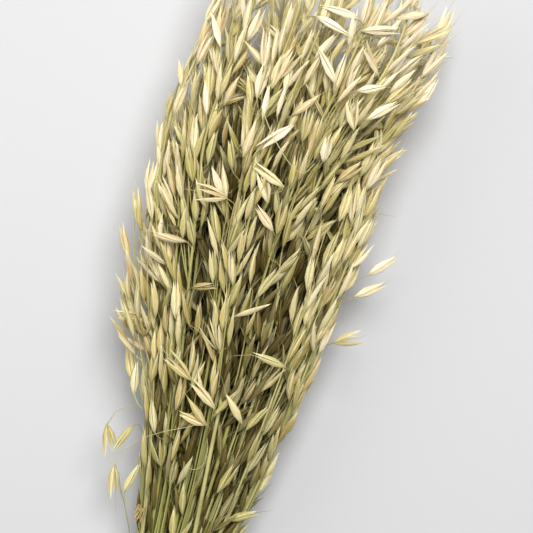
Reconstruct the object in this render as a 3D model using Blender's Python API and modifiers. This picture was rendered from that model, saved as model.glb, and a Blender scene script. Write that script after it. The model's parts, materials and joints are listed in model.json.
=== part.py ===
"""Bundle of dried oats, held by twine and lying on its side.

The bundle lies along +Y: the cut ends of its stalks point to -Y and its heads to +Y. It rests on Z = 0, with the
middle of its box over the origin. Each stalk is one body: its straw, the fine branches of its head and the
spikelets on them. "Along" is always the distance from the cut ends.
"""

import math
import random
from dataclasses import dataclass

import bmesh
import bpy
import numpy as np
from mathutils import Vector

# The bundle, in metres
BUNDLE_LENGTH = 0.650
MIDDLE_SHIFT = -0.0006
STALKS = 43
SEED = 7

# The tie and the packing of the stalks in it
TIE_AT = 0.130
TIE_TURNS = 4
TIE_STEPS = 16
TWINE_DIAMETER = 0.0022
VALLEY_DEPTH = 0.6
STALK_PITCH = 0.00355
ROW_STEP = 0.76
TIE_CLEARANCE = 0.0003
KNOT_HALF_SIZE = (0.0046, 0.0036, 0.0030)
TWINE_END = ((0.0, 0.0, 0.001), (0.007, 0.007, 0.0025), (0.015, 0.013, 0.001), (0.021, 0.020, -0.005))

# The middle line climbs from the cut ends to the heads, because the heads are the thicker end
CUT_END_HEIGHT = 0.0196
CLIMB = 0.065

# The fan of stalks at some places along it: how far its middle sways across, its half width and its half height.
# None is the packing in the tie.
SECTIONS = (
    (0.000, 0.0000, 0.0200, 0.0235),
    (0.122, 0.0000, None, None),
    (0.138, 0.0000, None, None),
    (0.190, 0.0030, 0.0225, 0.0185),
    (0.250, 0.0050, 0.0350, 0.0250),
    (0.330, 0.0020, 0.0500, 0.0345),
    (0.410, -0.0045, 0.0655, 0.0430),
    (0.490, -0.0070, 0.0750, 0.0490),
    (0.570, 0.0050, 0.0755, 0.0520),
    (0.650, 0.0065, 0.0790, 0.0545),
)
LEAN_JITTER = 0.17
WANDER = 0.6
FULL_JITTER_FROM_TIE = 0.12
LEAST_STRAW_GAP = 0.0006
PUSH_ROUNDS = 20
LOWEST_STRAW = 0.0012
LOWEST_RACHIS = 0.0055
LEAST_STEP = 0.004

# Where the outer stalks have ended, the inner ones spread out into their place
SPREAD_FROM = 0.42
SPREAD_SHARE = 0.35

# Straw radii: cut end to tie, foot of the head, end of the head
STRAW_RADIUS = 0.0016
NECK_RADIUS = 0.0010
RACHIS_RADIUS = 0.00075
CUT_END_SPREAD = 0.006

# Heads: the tallest tips in the middle, how much lower they are on the outside, and how much shorter the shortest
# stalks are than the tallest ones beside them
TALLEST_MIDDLE = 0.625
OUTER_SHORTER = 0.030
TOP_ROUNDING = 1.6
SHORTER_MIDDLE = 0.050
SHORTER_OUTER = 0.190
HEAD_LENGTH = (0.200, 0.260)
SPIKELETS_ON_INNER = 8
SPIKELETS_ON_OUTER = 10
OUTER_RING = 0.70
LAST_BRANCH_BACK = 0.018
END_BRANCH = 0.0024
END_TILT = 9.0
TURN_OUTWARD = 0.35

# A spikelet, closed and opened into two husks at its tip
SPIKELET_LENGTH = (0.0215, 0.0260)
SPIKELET_HALF_WIDTH = (0.0024, 0.0030)
SPIKELET_HALF_DEPTH = 0.00175
WAIST_PLACE = 0.42
FORK_SPREAD = (0.0006, 0.0014)
SHORTER_HUSK = 0.92
BRANCH_RADIUS = 0.00045
NECK_OF_SPIKELET = 0.00060
BRANCH_LENGTH = (0.007, 0.014)
BRANCH_ANGLE = (22.0, 50.0)
BODY_ANGLE = (3.0, 24.0)
CROSSING_ANGLE = (28.0, 55.0)
CROSSING_SHARE = 0.10
BRANCH_TURN = 0.5
BODY_TURN = 0.7
CLEARANCE = 0.0005
TRIES = 40

# Outline of the heads: half width and half height at some places along the bundle
OUTLINE = (
    (0.230, 0.039, 0.030),
    (0.290, 0.048, 0.037),
    (0.340, 0.058, 0.042),
    (0.390, 0.067, 0.048),
    (0.460, 0.079, 0.055),
    (0.530, 0.082, 0.059),
    (0.575, 0.083, 0.061),
    (0.650, 0.085, 0.062),
)

# Spikelets that rest on the surface: the height of their middle, how many, where along the bundle, how far ahead of
# and beside the point below their root they start, and how far they lean across
RESTING_HEIGHT = 0.0012
PRESSED_DEPTH = 0.0006
RESTING_SPIKELETS = 8
RESTING_FROM = 0.40
RESTING_TO = 0.60
RESTING_BELOW_TIP = 0.05
RESTING_MIDDLE = 0.48
RESTING_AHEAD = 0.004
RESTING_BESIDE = 0.006
RESTING_LEAN = 0.3
RESTING_TRIES = 160

# Stray spikelets past the outline
STRAY_ROLL = 0.3
STRAY_HALF_WIDTH = 0.0028
STRAY_FORK = 0.0013
STRAY_BELOW_TIP = 0.04

# Where they are: root along, then foot and tip as (across, along, height)
STRAYS_RIGHT = (
    (0.408, (0.0749, 0.4286, 0.052), (0.0904, 0.4461, 0.054)),
    (0.392, (0.0706, 0.4123, 0.043), (0.0890, 0.4272, 0.040)),
    (0.360, (0.0650, 0.3791, 0.047), (0.0849, 0.3889, 0.050)),
    (0.236, (0.0340, 0.2500, 0.036), (0.0480, 0.2690, 0.036)),
)
STRAYS_LEFT = (
    (0.3015, (-0.0640, 0.2860, 0.046), (-0.0560, 0.2650, 0.041)),
    (0.280, (-0.0520, 0.2610, 0.038), (-0.0450, 0.2385, 0.037)),
    (0.333, (-0.0690, 0.3610, 0.044), (-0.0815, 0.3830, 0.045)),
    (0.368, (-0.0800, 0.3955, 0.046), (-0.0925, 0.4175, 0.048)),
    (0.390, (-0.0800, 0.4190, 0.052), (-0.0895, 0.4425, 0.054)),
    (0.412, (-0.0795, 0.4400, 0.060), (-0.0820, 0.4650, 0.062)),
)

# Corners on flatter edges and faces than this are needless, in radians
FLAT_ANGLE = 0.002
MERGE_DISTANCE = 0.000001

# Edges sharper than this stay sharp under smooth shading, in degrees
SHARP_ANGLE = 40.0

# The surface that the bundle rests on
TABLE_THICKNESS = 0.020
TABLE_WIDTH = 0.650
TABLE_LENGTH = 0.975

# Stand-ins for nothing and for far away in the gaps between rods
NOTHING = 1e-18
FAR_AWAY = 1.0

# Colours and finishes: red, green, blue, roughness
STRAW_FINISH = (0.56, 0.51, 0.27, 0.62)
TWINE_FINISH = (0.50, 0.36, 0.19, 0.90)

UP = Vector((0.0, 0.0, 1.0))


@dataclass
class Stalk:
    """One oat stalk: its axis as corners with a radius at each, and the stretch that its head takes."""

    number: int
    ring: float
    points: list
    radii: list
    head_from: float
    tip: float


@dataclass
class Spikelet:
    """One spikelet: the root of its branch, its foot, its tip and the direction of its width."""

    stalk: int
    root: Vector
    foot: Vector
    tip: Vector
    side: Vector
    half_width: float
    fork: float

    def waist(self):
        """The middle of its thickest section."""
        return self.foot.lerp(self.tip, WAIST_PLACE)

    def rods(self):
        """Its tapered rods, as start, end and the radius at each: the branch, then the body's two halves."""
        return (
            (self.root, self.foot, BRANCH_RADIUS, NECK_OF_SPIKELET),
            (self.foot, self.waist(), NECK_OF_SPIKELET, self.half_width),
            (self.waist(), self.tip, self.half_width, self.fork + NECK_OF_SPIKELET / 2),
        )


class Field:
    """All tapered rods placed so far, and the gaps from a new rod to them."""

    def __init__(self):
        self.starts, self.ends, self.radii, self.owners, self.straws = [], [], [], [], []
        self.arrays = None

    def add(self, rod, owner, is_straw):
        """Adds a rod that belongs to a stalk; is_straw tells a straw from a spikelet."""
        start, end, start_radius, end_radius = rod
        self.starts.append(tuple(start))
        self.ends.append(tuple(end))
        self.radii.append((start_radius, end_radius))
        self.owners.append(owner)
        self.straws.append(is_straw)
        self.arrays = None

    def read(self):
        """The rods as arrays, made again only after a rod was added."""
        if self.arrays is None:
            lists = (self.starts, self.ends, self.radii, self.owners, self.straws)
            self.arrays = [np.array(values) for values in lists]
        return self.arrays

    def gap(self, rod, owner, own_straw_counts):
        """The least gap from a rod to the rods placed, its own straw left out unless it counts."""
        starts, ends, radii, owners, straws = self.read()
        first, last, first_radius, last_radius = rod
        first, last = np.array(first), np.array(last)
        run, runs, between = last - first, ends - starts, first - starts
        squared = run @ run
        squares = (runs * runs).sum(1)
        across = runs @ run
        on_run = between @ run
        on_runs = (runs * between).sum(1)
        spread = np.maximum(squared * squares - across * across, NOTHING)
        share = np.clip((across * on_runs - on_run * squares) / spread, 0.0, 1.0)
        shares = np.clip((across * share + on_runs) / squares, 0.0, 1.0)
        share = np.clip((across * shares - on_run) / squared, 0.0, 1.0)
        apart = np.linalg.norm(between + share[:, None] * run - shares[:, None] * runs, axis=1)
        gaps = apart - first_radius - (last_radius - first_radius) * share
        gaps -= radii[:, 0] + (radii[:, 1] - radii[:, 0]) * shares
        if not own_straw_counts:
            gaps = np.where((owners == owner) & straws, FAR_AWAY, gaps)
        return gaps.min()


def between(values, share):
    """The number at a share of the way through a pair."""
    return values[0] + (values[1] - values[0]) * share


def eased(share):
    """A share from 0 to 1 with soft ends."""
    share = min(max(share, 0.0), 1.0)
    return share * share * (3.0 - 2.0 * share)


def middle_height(along):
    """Height of the bundle's middle line."""
    return CUT_END_HEIGHT + CLIMB * along


def place(across, along, height):
    """A point from its distance across, its distance from the cut ends and its height."""
    return Vector((across - MIDDLE_SHIFT, along - BUNDLE_LENGTH / 2, height))


def packed_places():
    """Places of the stalks in the tie, in pitches: rows set half a pitch apart, the nearest to the middle first."""
    rows = math.ceil(math.sqrt(STALKS))
    places = []
    for row in range(-rows, rows + 1):
        for column in range(-rows, rows + 1):
            places.append((row * ROW_STEP, column + row / 2))
    places.sort(key=lambda spot: (round(math.hypot(*spot), 6), math.atan2(spot[1], spot[0])))
    return places[:STALKS]


def packed_radius():
    """How far the outermost stalk is from the middle of the tie."""
    return STALK_PITCH * max(math.hypot(*spot) for spot in packed_places())


def sections(packed):
    """The fan's sections, with the packing in the tie put in."""
    return [(along, sway, wide or packed, high or packed) for along, sway, wide, high in SECTIONS]


def axis_corner(spot, ring, section, lean, packed):
    """One corner of a stalk's axis, from its place in the tie and how far it leans off the even fan."""
    along, sway, wide, high = section
    late = eased((along - SPREAD_FROM) / (BUNDLE_LENGTH - SPREAD_FROM))
    scale = 1.0
    if ring > 0.0:
        scale = (ring / (1.0 - SPREAD_SHARE * late)) ** (1.0 - SPREAD_SHARE * late) / ring
    across = sway + spot[0] * scale * wide
    height = spot[1] * scale * high
    if wide > packed:
        looseness = STALK_PITCH * LEAN_JITTER / packed * min(abs(along - TIE_AT) / FULL_JITTER_FROM_TIE, 1.0)
        across += lean[0] * looseness * wide
        height += lean[1] * looseness * high
        # A corner that leans past the section's ellipse comes back onto it
        outside = max(math.hypot((across - sway) / wide, height / high), 1.0)
        across = sway + (across - sway) / outside
        height /= outside
    lowest = LOWEST_STRAW + (LOWEST_RACHIS - LOWEST_STRAW) * eased((along - TIE_AT) / (SPREAD_FROM - TIE_AT))
    return place(across, along, max(middle_height(along) + height, lowest))


def straw_radius(along, head_from, tip):
    """Radius of a stalk: full up to the tie, thinner at the neck, thinnest at the end."""
    if along <= TIE_AT:
        return STRAW_RADIUS
    if along <= head_from:
        return between((STRAW_RADIUS, NECK_RADIUS), (along - TIE_AT) / (head_from - TIE_AT))
    return between((NECK_RADIUS, RACHIS_RADIUS), (along - head_from) / (tip - head_from))


def make_stalks(rng):
    """All stalks, fanned out from their packing in the tie."""
    packed = packed_radius()
    widest = packed / STALK_PITCH
    fan = sections(packed)
    drafts = []
    for spot in packed_places():
        ring = math.hypot(*spot) / widest
        unit = (spot[0] / widest, spot[1] / widest)
        lean = (rng.uniform(-1, 1), rng.uniform(-1, 1))
        tip = TALLEST_MIDDLE - OUTER_SHORTER * ring**TOP_ROUNDING
        tip -= between((SHORTER_MIDDLE, SHORTER_OUTER), ring) * rng.random()
        drafts.append((unit, ring, lean, tip, between(HEAD_LENGTH, rng.random()), rng.uniform(0, CUT_END_SPREAD)))
    short_of = BUNDLE_LENGTH - max(draft[3] for draft in drafts)
    rows = []
    for unit, ring, lean, *_ in drafts:
        wander = [(lean[0] + rng.uniform(-WANDER, WANDER), lean[1] + rng.uniform(-WANDER, WANDER)) for _ in fan]
        rows.append([axis_corner(unit, ring, section, off, packed) for section, off in zip(fan, wander)])
    stalks = []
    for step, section in enumerate(fan):
        if section[2] > packed:
            tips = [draft[3] + short_of for draft in drafts]
            there = [row[step] for row, tip in zip(rows, tips) if tip > section[0] - HEAD_LENGTH[0]]
            push_apart(there, 2 * STRAW_RADIUS + LEAST_STRAW_GAP)
    for number, (corners, (_, ring, _, tip, head, cut)) in enumerate(zip(rows, drafts), 1):
        tip += short_of
        rachis_end = tip - SPIKELET_LENGTH[1] - END_BRANCH
        points = trimmed(corners, cut - BUNDLE_LENGTH / 2, rachis_end - BUNDLE_LENGTH / 2)
        radii = [straw_radius(p.y + BUNDLE_LENGTH / 2, tip - head, tip) for p in points]
        stalks.append(Stalk(number, ring, points, radii, tip - head, tip))
    return stalks


def push_apart(corners, least):
    """Moves corners of one section apart, in place, until each pair is at least so far apart."""
    floor = min(corner.z for corner in corners)
    for _ in range(PUSH_ROUNDS):
        for number, one in enumerate(corners):
            for other in corners[number + 1 :]:
                apart = other - one
                short = least - apart.length
                if short > 0.0:
                    push = apart.normalized() * short / 2
                    one -= push
                    other += push
                    one.z = max(one.z, floor)
                    other.z = max(other.z, floor)


def trimmed(corners, first_y, last_y):
    """A row of corners cut to a stretch of Y, with its ends worked out on the line."""
    inner = [corner for corner in corners if first_y + LEAST_STEP < corner.y < last_y - LEAST_STEP]
    return [on_line(corners, first_y), *inner, on_line(corners, last_y)]


def on_line(corners, y):
    """The point at Y on a row of corners."""
    for start, end in zip(corners, corners[1:]):
        if y <= end.y:
            break
    return start.lerp(end, (y - start.y) / (end.y - start.y))


def read_off(rows, along, column):
    """A column's value at a distance along the bundle, read off a list of rows that start with that distance."""
    return float(np.interp(along, [row[0] for row in rows], [row[column] for row in rows]))


def off_middle(point):
    """How far a point is from the bundle's middle line, across and up."""
    along = point.y + BUNDLE_LENGTH / 2
    return point.x + MIDDLE_SHIFT - read_off(SECTIONS, along, 1), point.z - middle_height(along)


def inside_outline(point, radius):
    """Whether a point with some radius round it lies in the heads' outline and above the surface."""
    along = point.y + BUNDLE_LENGTH / 2
    across, height = off_middle(point)
    share_across = across / (read_off(OUTLINE, along, 1) - radius)
    share_up = height / (read_off(OUTLINE, along, 2) - radius)
    lowest = min(radius, SPIKELET_HALF_DEPTH) - PRESSED_DEPTH
    return share_across**2 + share_up**2 <= 1.0 and point.z >= lowest


def outward(point):
    """Angle, round the bundle, of the way out from its middle line at a point."""
    across, height = off_middle(point)
    return math.atan2(height, across)


def tilted(line, angle_round, angle_off):
    """A direction that leans off a line by one angle, to the side that the other angle gives."""
    away = Vector((math.cos(angle_round), 0.0, math.sin(angle_round)))
    away = (away - line * away.dot(line)).normalized()
    return line * math.cos(angle_off) + away * math.sin(angle_off)


def width_direction(body, roll):
    """A direction square to a spikelet's body, turned round it by a roll."""
    flat = body.cross(UP)
    flat = flat.normalized() if flat.length > 1e-6 else Vector((1.0, 0.0, 0.0))
    return flat * math.cos(roll) + body.cross(flat) * math.sin(roll)


def draw_spikelet(stalk, along, angle_round, rng):
    """A spikelet on a stalk with its lengths and angles drawn at random."""
    root = on_line(stalk.points, along - BUNDLE_LENGTH / 2)
    ahead = on_line(stalk.points, along - BUNDLE_LENGTH / 2 + LEAST_STEP)
    line = (ahead - root).normalized()
    angle_round += rng.uniform(-BRANCH_TURN, BRANCH_TURN)
    branch = tilted(line, angle_round, math.radians(between(BRANCH_ANGLE, rng.random())))
    angles = CROSSING_ANGLE if rng.random() < CROSSING_SHARE else BODY_ANGLE
    body_round = angle_round + rng.uniform(-BODY_TURN, BODY_TURN)
    body = tilted(line, body_round, math.radians(between(angles, rng.random())))
    foot = root + branch * between(BRANCH_LENGTH, rng.random())
    tip = foot + body * between(SPIKELET_LENGTH, rng.random())
    side = width_direction(body, rng.uniform(0, math.pi))
    half_width = between(SPIKELET_HALF_WIDTH, rng.random())
    return Spikelet(stalk.number, root, foot, tip, side, half_width, between(FORK_SPREAD, rng.random()))


def fits(spikelet, field):
    """Whether a spikelet clears everything placed so far."""
    branch, lower, upper = spikelet.rods()
    if field.gap(branch, spikelet.stalk, False) < CLEARANCE:
        return False
    return min(field.gap(half, spikelet.stalk, True) for half in (lower, upper)) >= CLEARANCE


def put(spikelet, spikelets, field):
    """Takes a spikelet into the head and into the field."""
    spikelets.append(spikelet)
    for rod in spikelet.rods():
        field.add(rod, spikelet.stalk, False)


def end_spikelet(stalk, field, rng):
    """The spikelet that ends a stalk, nearly in line with it."""
    root = stalk.points[-1]
    line = (root - stalk.points[-2]).normalized()
    foot = root + line * END_BRANCH
    for _ in range(TRIES):
        body = tilted(line, rng.uniform(-math.pi, math.pi), math.radians(END_TILT) * rng.random())
        side = width_direction(body, rng.uniform(0, math.pi))
        tip = foot + body * SPIKELET_LENGTH[1]
        one = Spikelet(stalk.number, root, foot, tip, side, SPIKELET_HALF_WIDTH[1], FORK_SPREAD[1])
        if fits(one, field):
            break
    return one


def stray_spikelets(stalks):
    """The strays past the outline, each on the stalk nearest to it."""
    strays = []
    for side, rows in ((1, STRAYS_RIGHT), (-1, STRAYS_LEFT)):
        for root_along, foot_place, tip_place in rows:
            y = root_along - BUNDLE_LENGTH / 2
            foot = place(*foot_place)
            tip = place(*tip_place)
            bearing = [stalk for stalk in stalks if root_along < stalk.tip - STRAY_BELOW_TIP]
            near = min(bearing, key=lambda stalk: (on_line(stalk.points, y) - foot).length)
            root = on_line(near.points, y)
            flat = width_direction((tip - foot).normalized(), STRAY_ROLL * side)
            strays.append(Spikelet(near.number, root, foot, tip, flat, STRAY_HALF_WIDTH, STRAY_FORK))
    return strays


def resting_spikelets(stalks, field, rng):
    """Spikelets under the lowest heads, lying level on the surface and pressed flat there."""
    resting = []
    heights = {}
    for stalk in stalks:
        along = min(stalk.tip - RESTING_BELOW_TIP, RESTING_MIDDLE)
        heights[stalk.number] = on_line(stalk.points, along - BUNDLE_LENGTH / 2).z
    for stalk in sorted(stalks, key=lambda one: heights[one.number]):
        first = max(stalk.head_from, RESTING_FROM)
        last = min(stalk.tip - RESTING_BELOW_TIP, RESTING_TO)
        for _ in range(RESTING_TRIES):
            root = on_line(stalk.points, rng.uniform(first, last) - BUNDLE_LENGTH / 2)
            drop = root.z - RESTING_HEIGHT
            x = root.x + rng.uniform(-RESTING_BESIDE, RESTING_BESIDE)
            foot = Vector((x, root.y + drop + RESTING_AHEAD, RESTING_HEIGHT))
            body = Vector((rng.uniform(-RESTING_LEAN, RESTING_LEAN), 1.0, 0.0)).normalized()
            tip = foot + body * SPIKELET_LENGTH[1]
            fork = between(FORK_SPREAD, rng.random())
            one = Spikelet(stalk.number, root, foot, tip, body.cross(UP), SPIKELET_HALF_WIDTH[1], fork)
            if fits(one, field):
                put(one, resting, field)
                break
        if len(resting) == RESTING_SPIKELETS:
            return resting
    return resting


def place_spikelets(stalks, rng):
    """All spikelets, each clear of the others and of the stalks that it doesn't grow from."""
    field = Field()
    for stalk in stalks:
        for step, (start, end) in enumerate(zip(stalk.points, stalk.points[1:])):
            field.add((start, end, stalk.radii[step], stalk.radii[step + 1]), stalk.number, True)
    spikelets = []
    for stalk in stalks:
        put(end_spikelet(stalk, field, rng), spikelets, field)
    for stray in stray_spikelets(stalks):
        put(stray, spikelets, field)
    spikelets += resting_spikelets(stalks, field, rng)
    for level in range(SPIKELETS_ON_OUTER):
        for stalk in stalks:
            levels = SPIKELETS_ON_OUTER if stalk.ring > OUTER_RING else SPIKELETS_ON_INNER
            if level >= levels:
                continue
            usable = stalk.tip - SPIKELET_LENGTH[1] - LAST_BRANCH_BACK - stalk.head_from
            turn = math.pi * (1.0 - TURN_OUTWARD * stalk.ring)
            for _ in range(TRIES):
                along = stalk.head_from + usable * (level + rng.random()) / levels
                point = on_line(stalk.points, along - BUNDLE_LENGTH / 2)
                one = draw_spikelet(stalk, along, outward(point) + rng.uniform(-turn, turn), rng)
                ends_inside = inside_outline(one.tip, one.fork) and inside_outline(one.waist(), one.half_width)
                if ends_inside and fits(one, field):
                    put(one, spikelets, field)
                    break
    return spikelets


def new_material(name, finish):
    """A plain finish from red, green, blue and roughness."""
    material = bpy.data.materials.new(name)
    material.use_nodes = True
    shader = material.node_tree.nodes["Principled BSDF"]
    shader.inputs["Base Color"].default_value = (*finish[:3], 1.0)
    shader.inputs["Roughness"].default_value = finish[3]
    shader.inputs["Metallic"].default_value = 0.0
    material.diffuse_color = (*finish[:3], 1.0)
    return material


def new_object(name, mesh, collection):
    """An object for a mesh, in a collection."""
    made = bpy.data.objects.new(name, mesh)
    collection.objects.link(made)
    return made


def tube(name, points, radii, collection):
    """A closed four-sided tube through points, with a radius at each, made from a curve."""
    curve = bpy.data.curves.new(name, "CURVE")
    curve.dimensions = "3D"
    curve.bevel_depth = 1.0
    curve.bevel_resolution = 0
    curve.use_fill_caps = True
    curve.twist_mode = "Z_UP"
    spline = curve.splines.new("POLY")
    spline.points.add(len(points) - 1)
    for corner, point, radius in zip(spline.points, points, radii):
        corner.co = (*point, 1.0)
        corner.radius = radius
    route = new_object(name + "_route", curve, collection)
    bpy.context.view_layer.update()
    evaluated = route.evaluated_get(bpy.context.evaluated_depsgraph_get())
    mesh = bpy.data.meshes.new_from_object(evaluated)
    body = bmesh.new()
    body.from_mesh(mesh)
    bmesh.ops.remove_doubles(body, verts=body.verts, dist=MERGE_DISTANCE)
    bmesh.ops.recalc_face_normals(body, faces=body.faces)
    body.to_mesh(mesh)
    body.free()
    made = new_object(name, mesh, collection)
    made.matrix_world = route.matrix_world
    bpy.data.objects.remove(route)
    bpy.data.curves.remove(curve)
    return made


def set_ring(verts, middle, side, deep, half_width, half_depth):
    """Moves the four corners of a section to its ends of width and depth, kept in their order round it."""
    corners = (side * half_width, deep * half_depth, side * -half_width, deep * -half_depth)
    for vert, corner in zip(verts, corners):
        vert.co = middle + corner


def spikelet_object(spikelet, name, collection):
    """A spikelet with its branch: a four-sided cone, extruded to its waist and closed by two pointed husks."""
    body = bmesh.new()
    bmesh.ops.create_cone(body, cap_ends=True, segments=4, radius1=1.0, radius2=1.0, depth=2.0)
    foot_cap = max(body.faces, key=lambda face: face.normal.z)
    root_ring = sorted((v for v in body.verts if v.co.z < 0), key=lambda v: math.atan2(v.co.y, v.co.x))
    foot_ring = sorted((v for v in body.verts if v.co.z > 0), key=lambda v: math.atan2(v.co.y, v.co.x))
    risen = bmesh.ops.extrude_face_region(body, geom=[foot_cap])["geom"]
    bmesh.ops.delete(body, geom=[foot_cap], context="FACES_ONLY")
    waist_ring = [part for part in risen if isinstance(part, bmesh.types.BMVert)]
    waist_ring.sort(key=lambda v: math.atan2(v.co.y, v.co.x))
    line = (spikelet.tip - spikelet.foot).normalized()
    side = (spikelet.side - line * spikelet.side.dot(line)).normalized()
    deep = line.cross(side)
    bend = ((spikelet.foot - spikelet.root).normalized() + line).normalized()
    bend_side = (side - bend * side.dot(bend)).normalized()
    bend_deep = bend.cross(bend_side)
    set_ring(root_ring, spikelet.root, bend_side, bend_deep, BRANCH_RADIUS, BRANCH_RADIUS)
    set_ring(foot_ring, spikelet.foot, bend_side, bend_deep, NECK_OF_SPIKELET, NECK_OF_SPIKELET)
    set_ring(waist_ring, spikelet.waist(), side, deep, spikelet.half_width, SPIKELET_HALF_DEPTH)
    bmesh.ops.connect_verts(body, verts=[waist_ring[1], waist_ring[3]])
    length = (spikelet.tip - spikelet.foot).length
    for face in [f for f in body.faces if len(f.verts) == 3]:
        sign = 1.0 if waist_ring[0] in face.verts else -1.0
        reach = 1.0 if sign > 0 else SHORTER_HUSK
        point = bmesh.ops.poke(body, faces=[face])["verts"][0]
        point.co = spikelet.foot + line * length * reach + side * sign * spikelet.fork
    bmesh.ops.triangulate(body, faces=body.faces)
    bmesh.ops.recalc_face_normals(body, faces=body.faces)
    mesh = bpy.data.meshes.new(name)
    body.to_mesh(mesh)
    body.free()
    return new_object(name, mesh, collection)


def apply_modifier(made, modifier):
    """Applies one modifier of an object."""
    bpy.context.view_layer.objects.active = made
    bpy.context.view_layer.update()
    bpy.ops.object.modifier_apply(modifier=modifier.name)


def join_all(made, collection):
    """Fuses an object with everything in a collection, removes its objects, and takes out needless corners."""
    union = made.modifiers.new("join", "BOOLEAN")
    union.operation = "UNION"
    union.operand_type = "COLLECTION"
    union.collection = collection
    apply_modifier(made, union)
    for used in list(collection.objects):
        bpy.data.objects.remove(used)
    bpy.data.collections.remove(collection)
    body = bmesh.new()
    body.from_mesh(made.data)
    bmesh.ops.dissolve_limit(body, angle_limit=FLAT_ANGLE, verts=body.verts, edges=body.edges)
    bmesh.ops.triangulate(body, faces=body.faces)
    body.to_mesh(made.data)
    body.free()


def press_flat(made, table):
    """Cuts away what a body would sink into the surface, which leaves the small flats that it rests on."""
    if min((made.matrix_world @ vert.co).z for vert in made.data.vertices) < 0.0:
        cut = made.modifiers.new("flat", "BOOLEAN")
        cut.operation = "DIFFERENCE"
        cut.object = table
        apply_modifier(made, cut)


def make_table(collection):
    """The slab under the bundle that its lowest points are flattened by."""
    bpy.ops.mesh.primitive_cube_add(size=1.0, location=(0.0, 0.0, -TABLE_THICKNESS / 2))
    table = bpy.context.object
    table.name = "table_surface"
    table.scale = (TABLE_WIDTH, TABLE_LENGTH, TABLE_THICKNESS)
    bpy.ops.object.transform_apply(location=False, rotation=False, scale=True)
    for home in list(table.users_collection):
        home.objects.unlink(table)
    collection.objects.link(table)
    table.hide_render = True
    table.display_type = "WIRE"
    return table


def make_stalk_object(stalk, spikelets, table, material, collection, scene_collection):
    """One stalk: its straw fused with its spikelets and pressed flat where it rests."""
    straw = tube(f"stalk_{stalk.number:02d}", stalk.points, stalk.radii, collection)
    head = bpy.data.collections.new(f"head_{stalk.number:02d}")
    scene_collection.children.link(head)
    for count, spikelet in enumerate(spikelets, 1):
        spikelet_object(spikelet, f"spikelet_{stalk.number:02d}_{count:02d}", head)
    join_all(straw, head)
    press_flat(straw, table)
    straw.data.materials.clear()
    straw.data.materials.append(material)
    return straw


def make_tie(material, collection, scene_collection):
    """The twine round the stalks: a turned ring of its turns, a knot on top and two short ends."""
    inner = (packed_radius() + STRAW_RADIUS + TIE_CLEARANCE) / math.cos(math.pi / TIE_STEPS)
    half = TIE_TURNS * TWINE_DIAMETER / 2
    profile = []
    for step in range(2 * TIE_TURNS + 1):
        bulge = TWINE_DIAMETER * (1.0 if step % 2 else VALLEY_DEPTH)
        profile.append((inner + bulge, 0.0, half - step * TWINE_DIAMETER / 2))
    profile += [(inner, 0.0, -half), (inner, 0.0, half)]
    mesh = bpy.data.meshes.new("twine_tie")
    count = len(profile)
    mesh.from_pydata(profile, [(step, (step + 1) % count) for step in range(count)], [])
    tie = new_object("twine_tie", mesh, collection)
    screw = tie.modifiers.new("turn", "SCREW")
    screw.steps = TIE_STEPS
    screw.render_steps = TIE_STEPS
    screw.use_merge_vertices = True
    screw.merge_threshold = MERGE_DISTANCE
    tie.location = place(0.0, TIE_AT, middle_height(TIE_AT))
    tie.rotation_euler = (math.atan(CLIMB) - math.pi / 2, 0.0, 0.0)
    apply_modifier(tie, screw)
    extras = bpy.data.collections.new("tie_extras")
    scene_collection.children.link(extras)
    top = Vector(tie.location) + UP * (inner + TWINE_DIAMETER)
    make_knot(top, extras)
    for name, side in (("twine_end_right", 1), ("twine_end_left", -1)):
        points = [top + Vector((side * across, -back, rise)) for across, back, rise in TWINE_END]
        tube(name, points, [TWINE_DIAMETER / 2] * len(points), extras)
    join_all(tie, extras)
    tie.data.materials.clear()
    tie.data.materials.append(material)
    return tie


def make_knot(middle, collection):
    """The knot: a small rounded lump on the ring."""
    bpy.ops.mesh.primitive_uv_sphere_add(segments=8, ring_count=6, radius=1.0, location=middle)
    knot = bpy.context.object
    knot.name = "twine_knot"
    knot.scale = KNOT_HALF_SIZE
    bpy.ops.object.transform_apply(location=False, rotation=False, scale=True)
    for home in list(knot.users_collection):
        home.objects.unlink(knot)
    collection.objects.link(knot)
    return knot


def main():
    """Builds the bundle."""
    for old in list(bpy.data.objects):
        bpy.data.objects.remove(old)
    scene_collection = bpy.context.scene.collection
    parts = bpy.data.collections.new("bundle_of_dried_oats")
    cutters = bpy.data.collections.new("cutters")
    scene_collection.children.link(parts)
    scene_collection.children.link(cutters)
    rng = random.Random(SEED)
    stalks = make_stalks(rng)
    spikelets = place_spikelets(stalks, rng)
    straw = new_material("dried_straw", STRAW_FINISH)
    twine = new_material("natural_twine", TWINE_FINISH)
    table = make_table(cutters)
    for stalk in stalks:
        own = [spikelet for spikelet in spikelets if spikelet.stalk == stalk.number]
        made = make_stalk_object(stalk, own, table, straw, parts, scene_collection)
        made.data.shade_smooth()
        made.data.set_sharp_from_angle(angle=math.radians(SHARP_ANGLE))
    make_tie(twine, parts, scene_collection)


main()
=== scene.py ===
"""A tied bundle of dried oats, lying down: its finished stalks, spikelets, leaves and twine.

The bundle lies along +Y on Z = 0, cut ends to -Y and heads to +Y. "Along" is always the distance from the cut
ends. Each stalk piece stands where its solid is, with its straw, its side branches and all its spikelets.
"""

import json
import logging
import math
import random
from dataclasses import dataclass
from enum import Enum

import bpy
import numpy as np
from mathutils import Matrix, Vector

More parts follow.
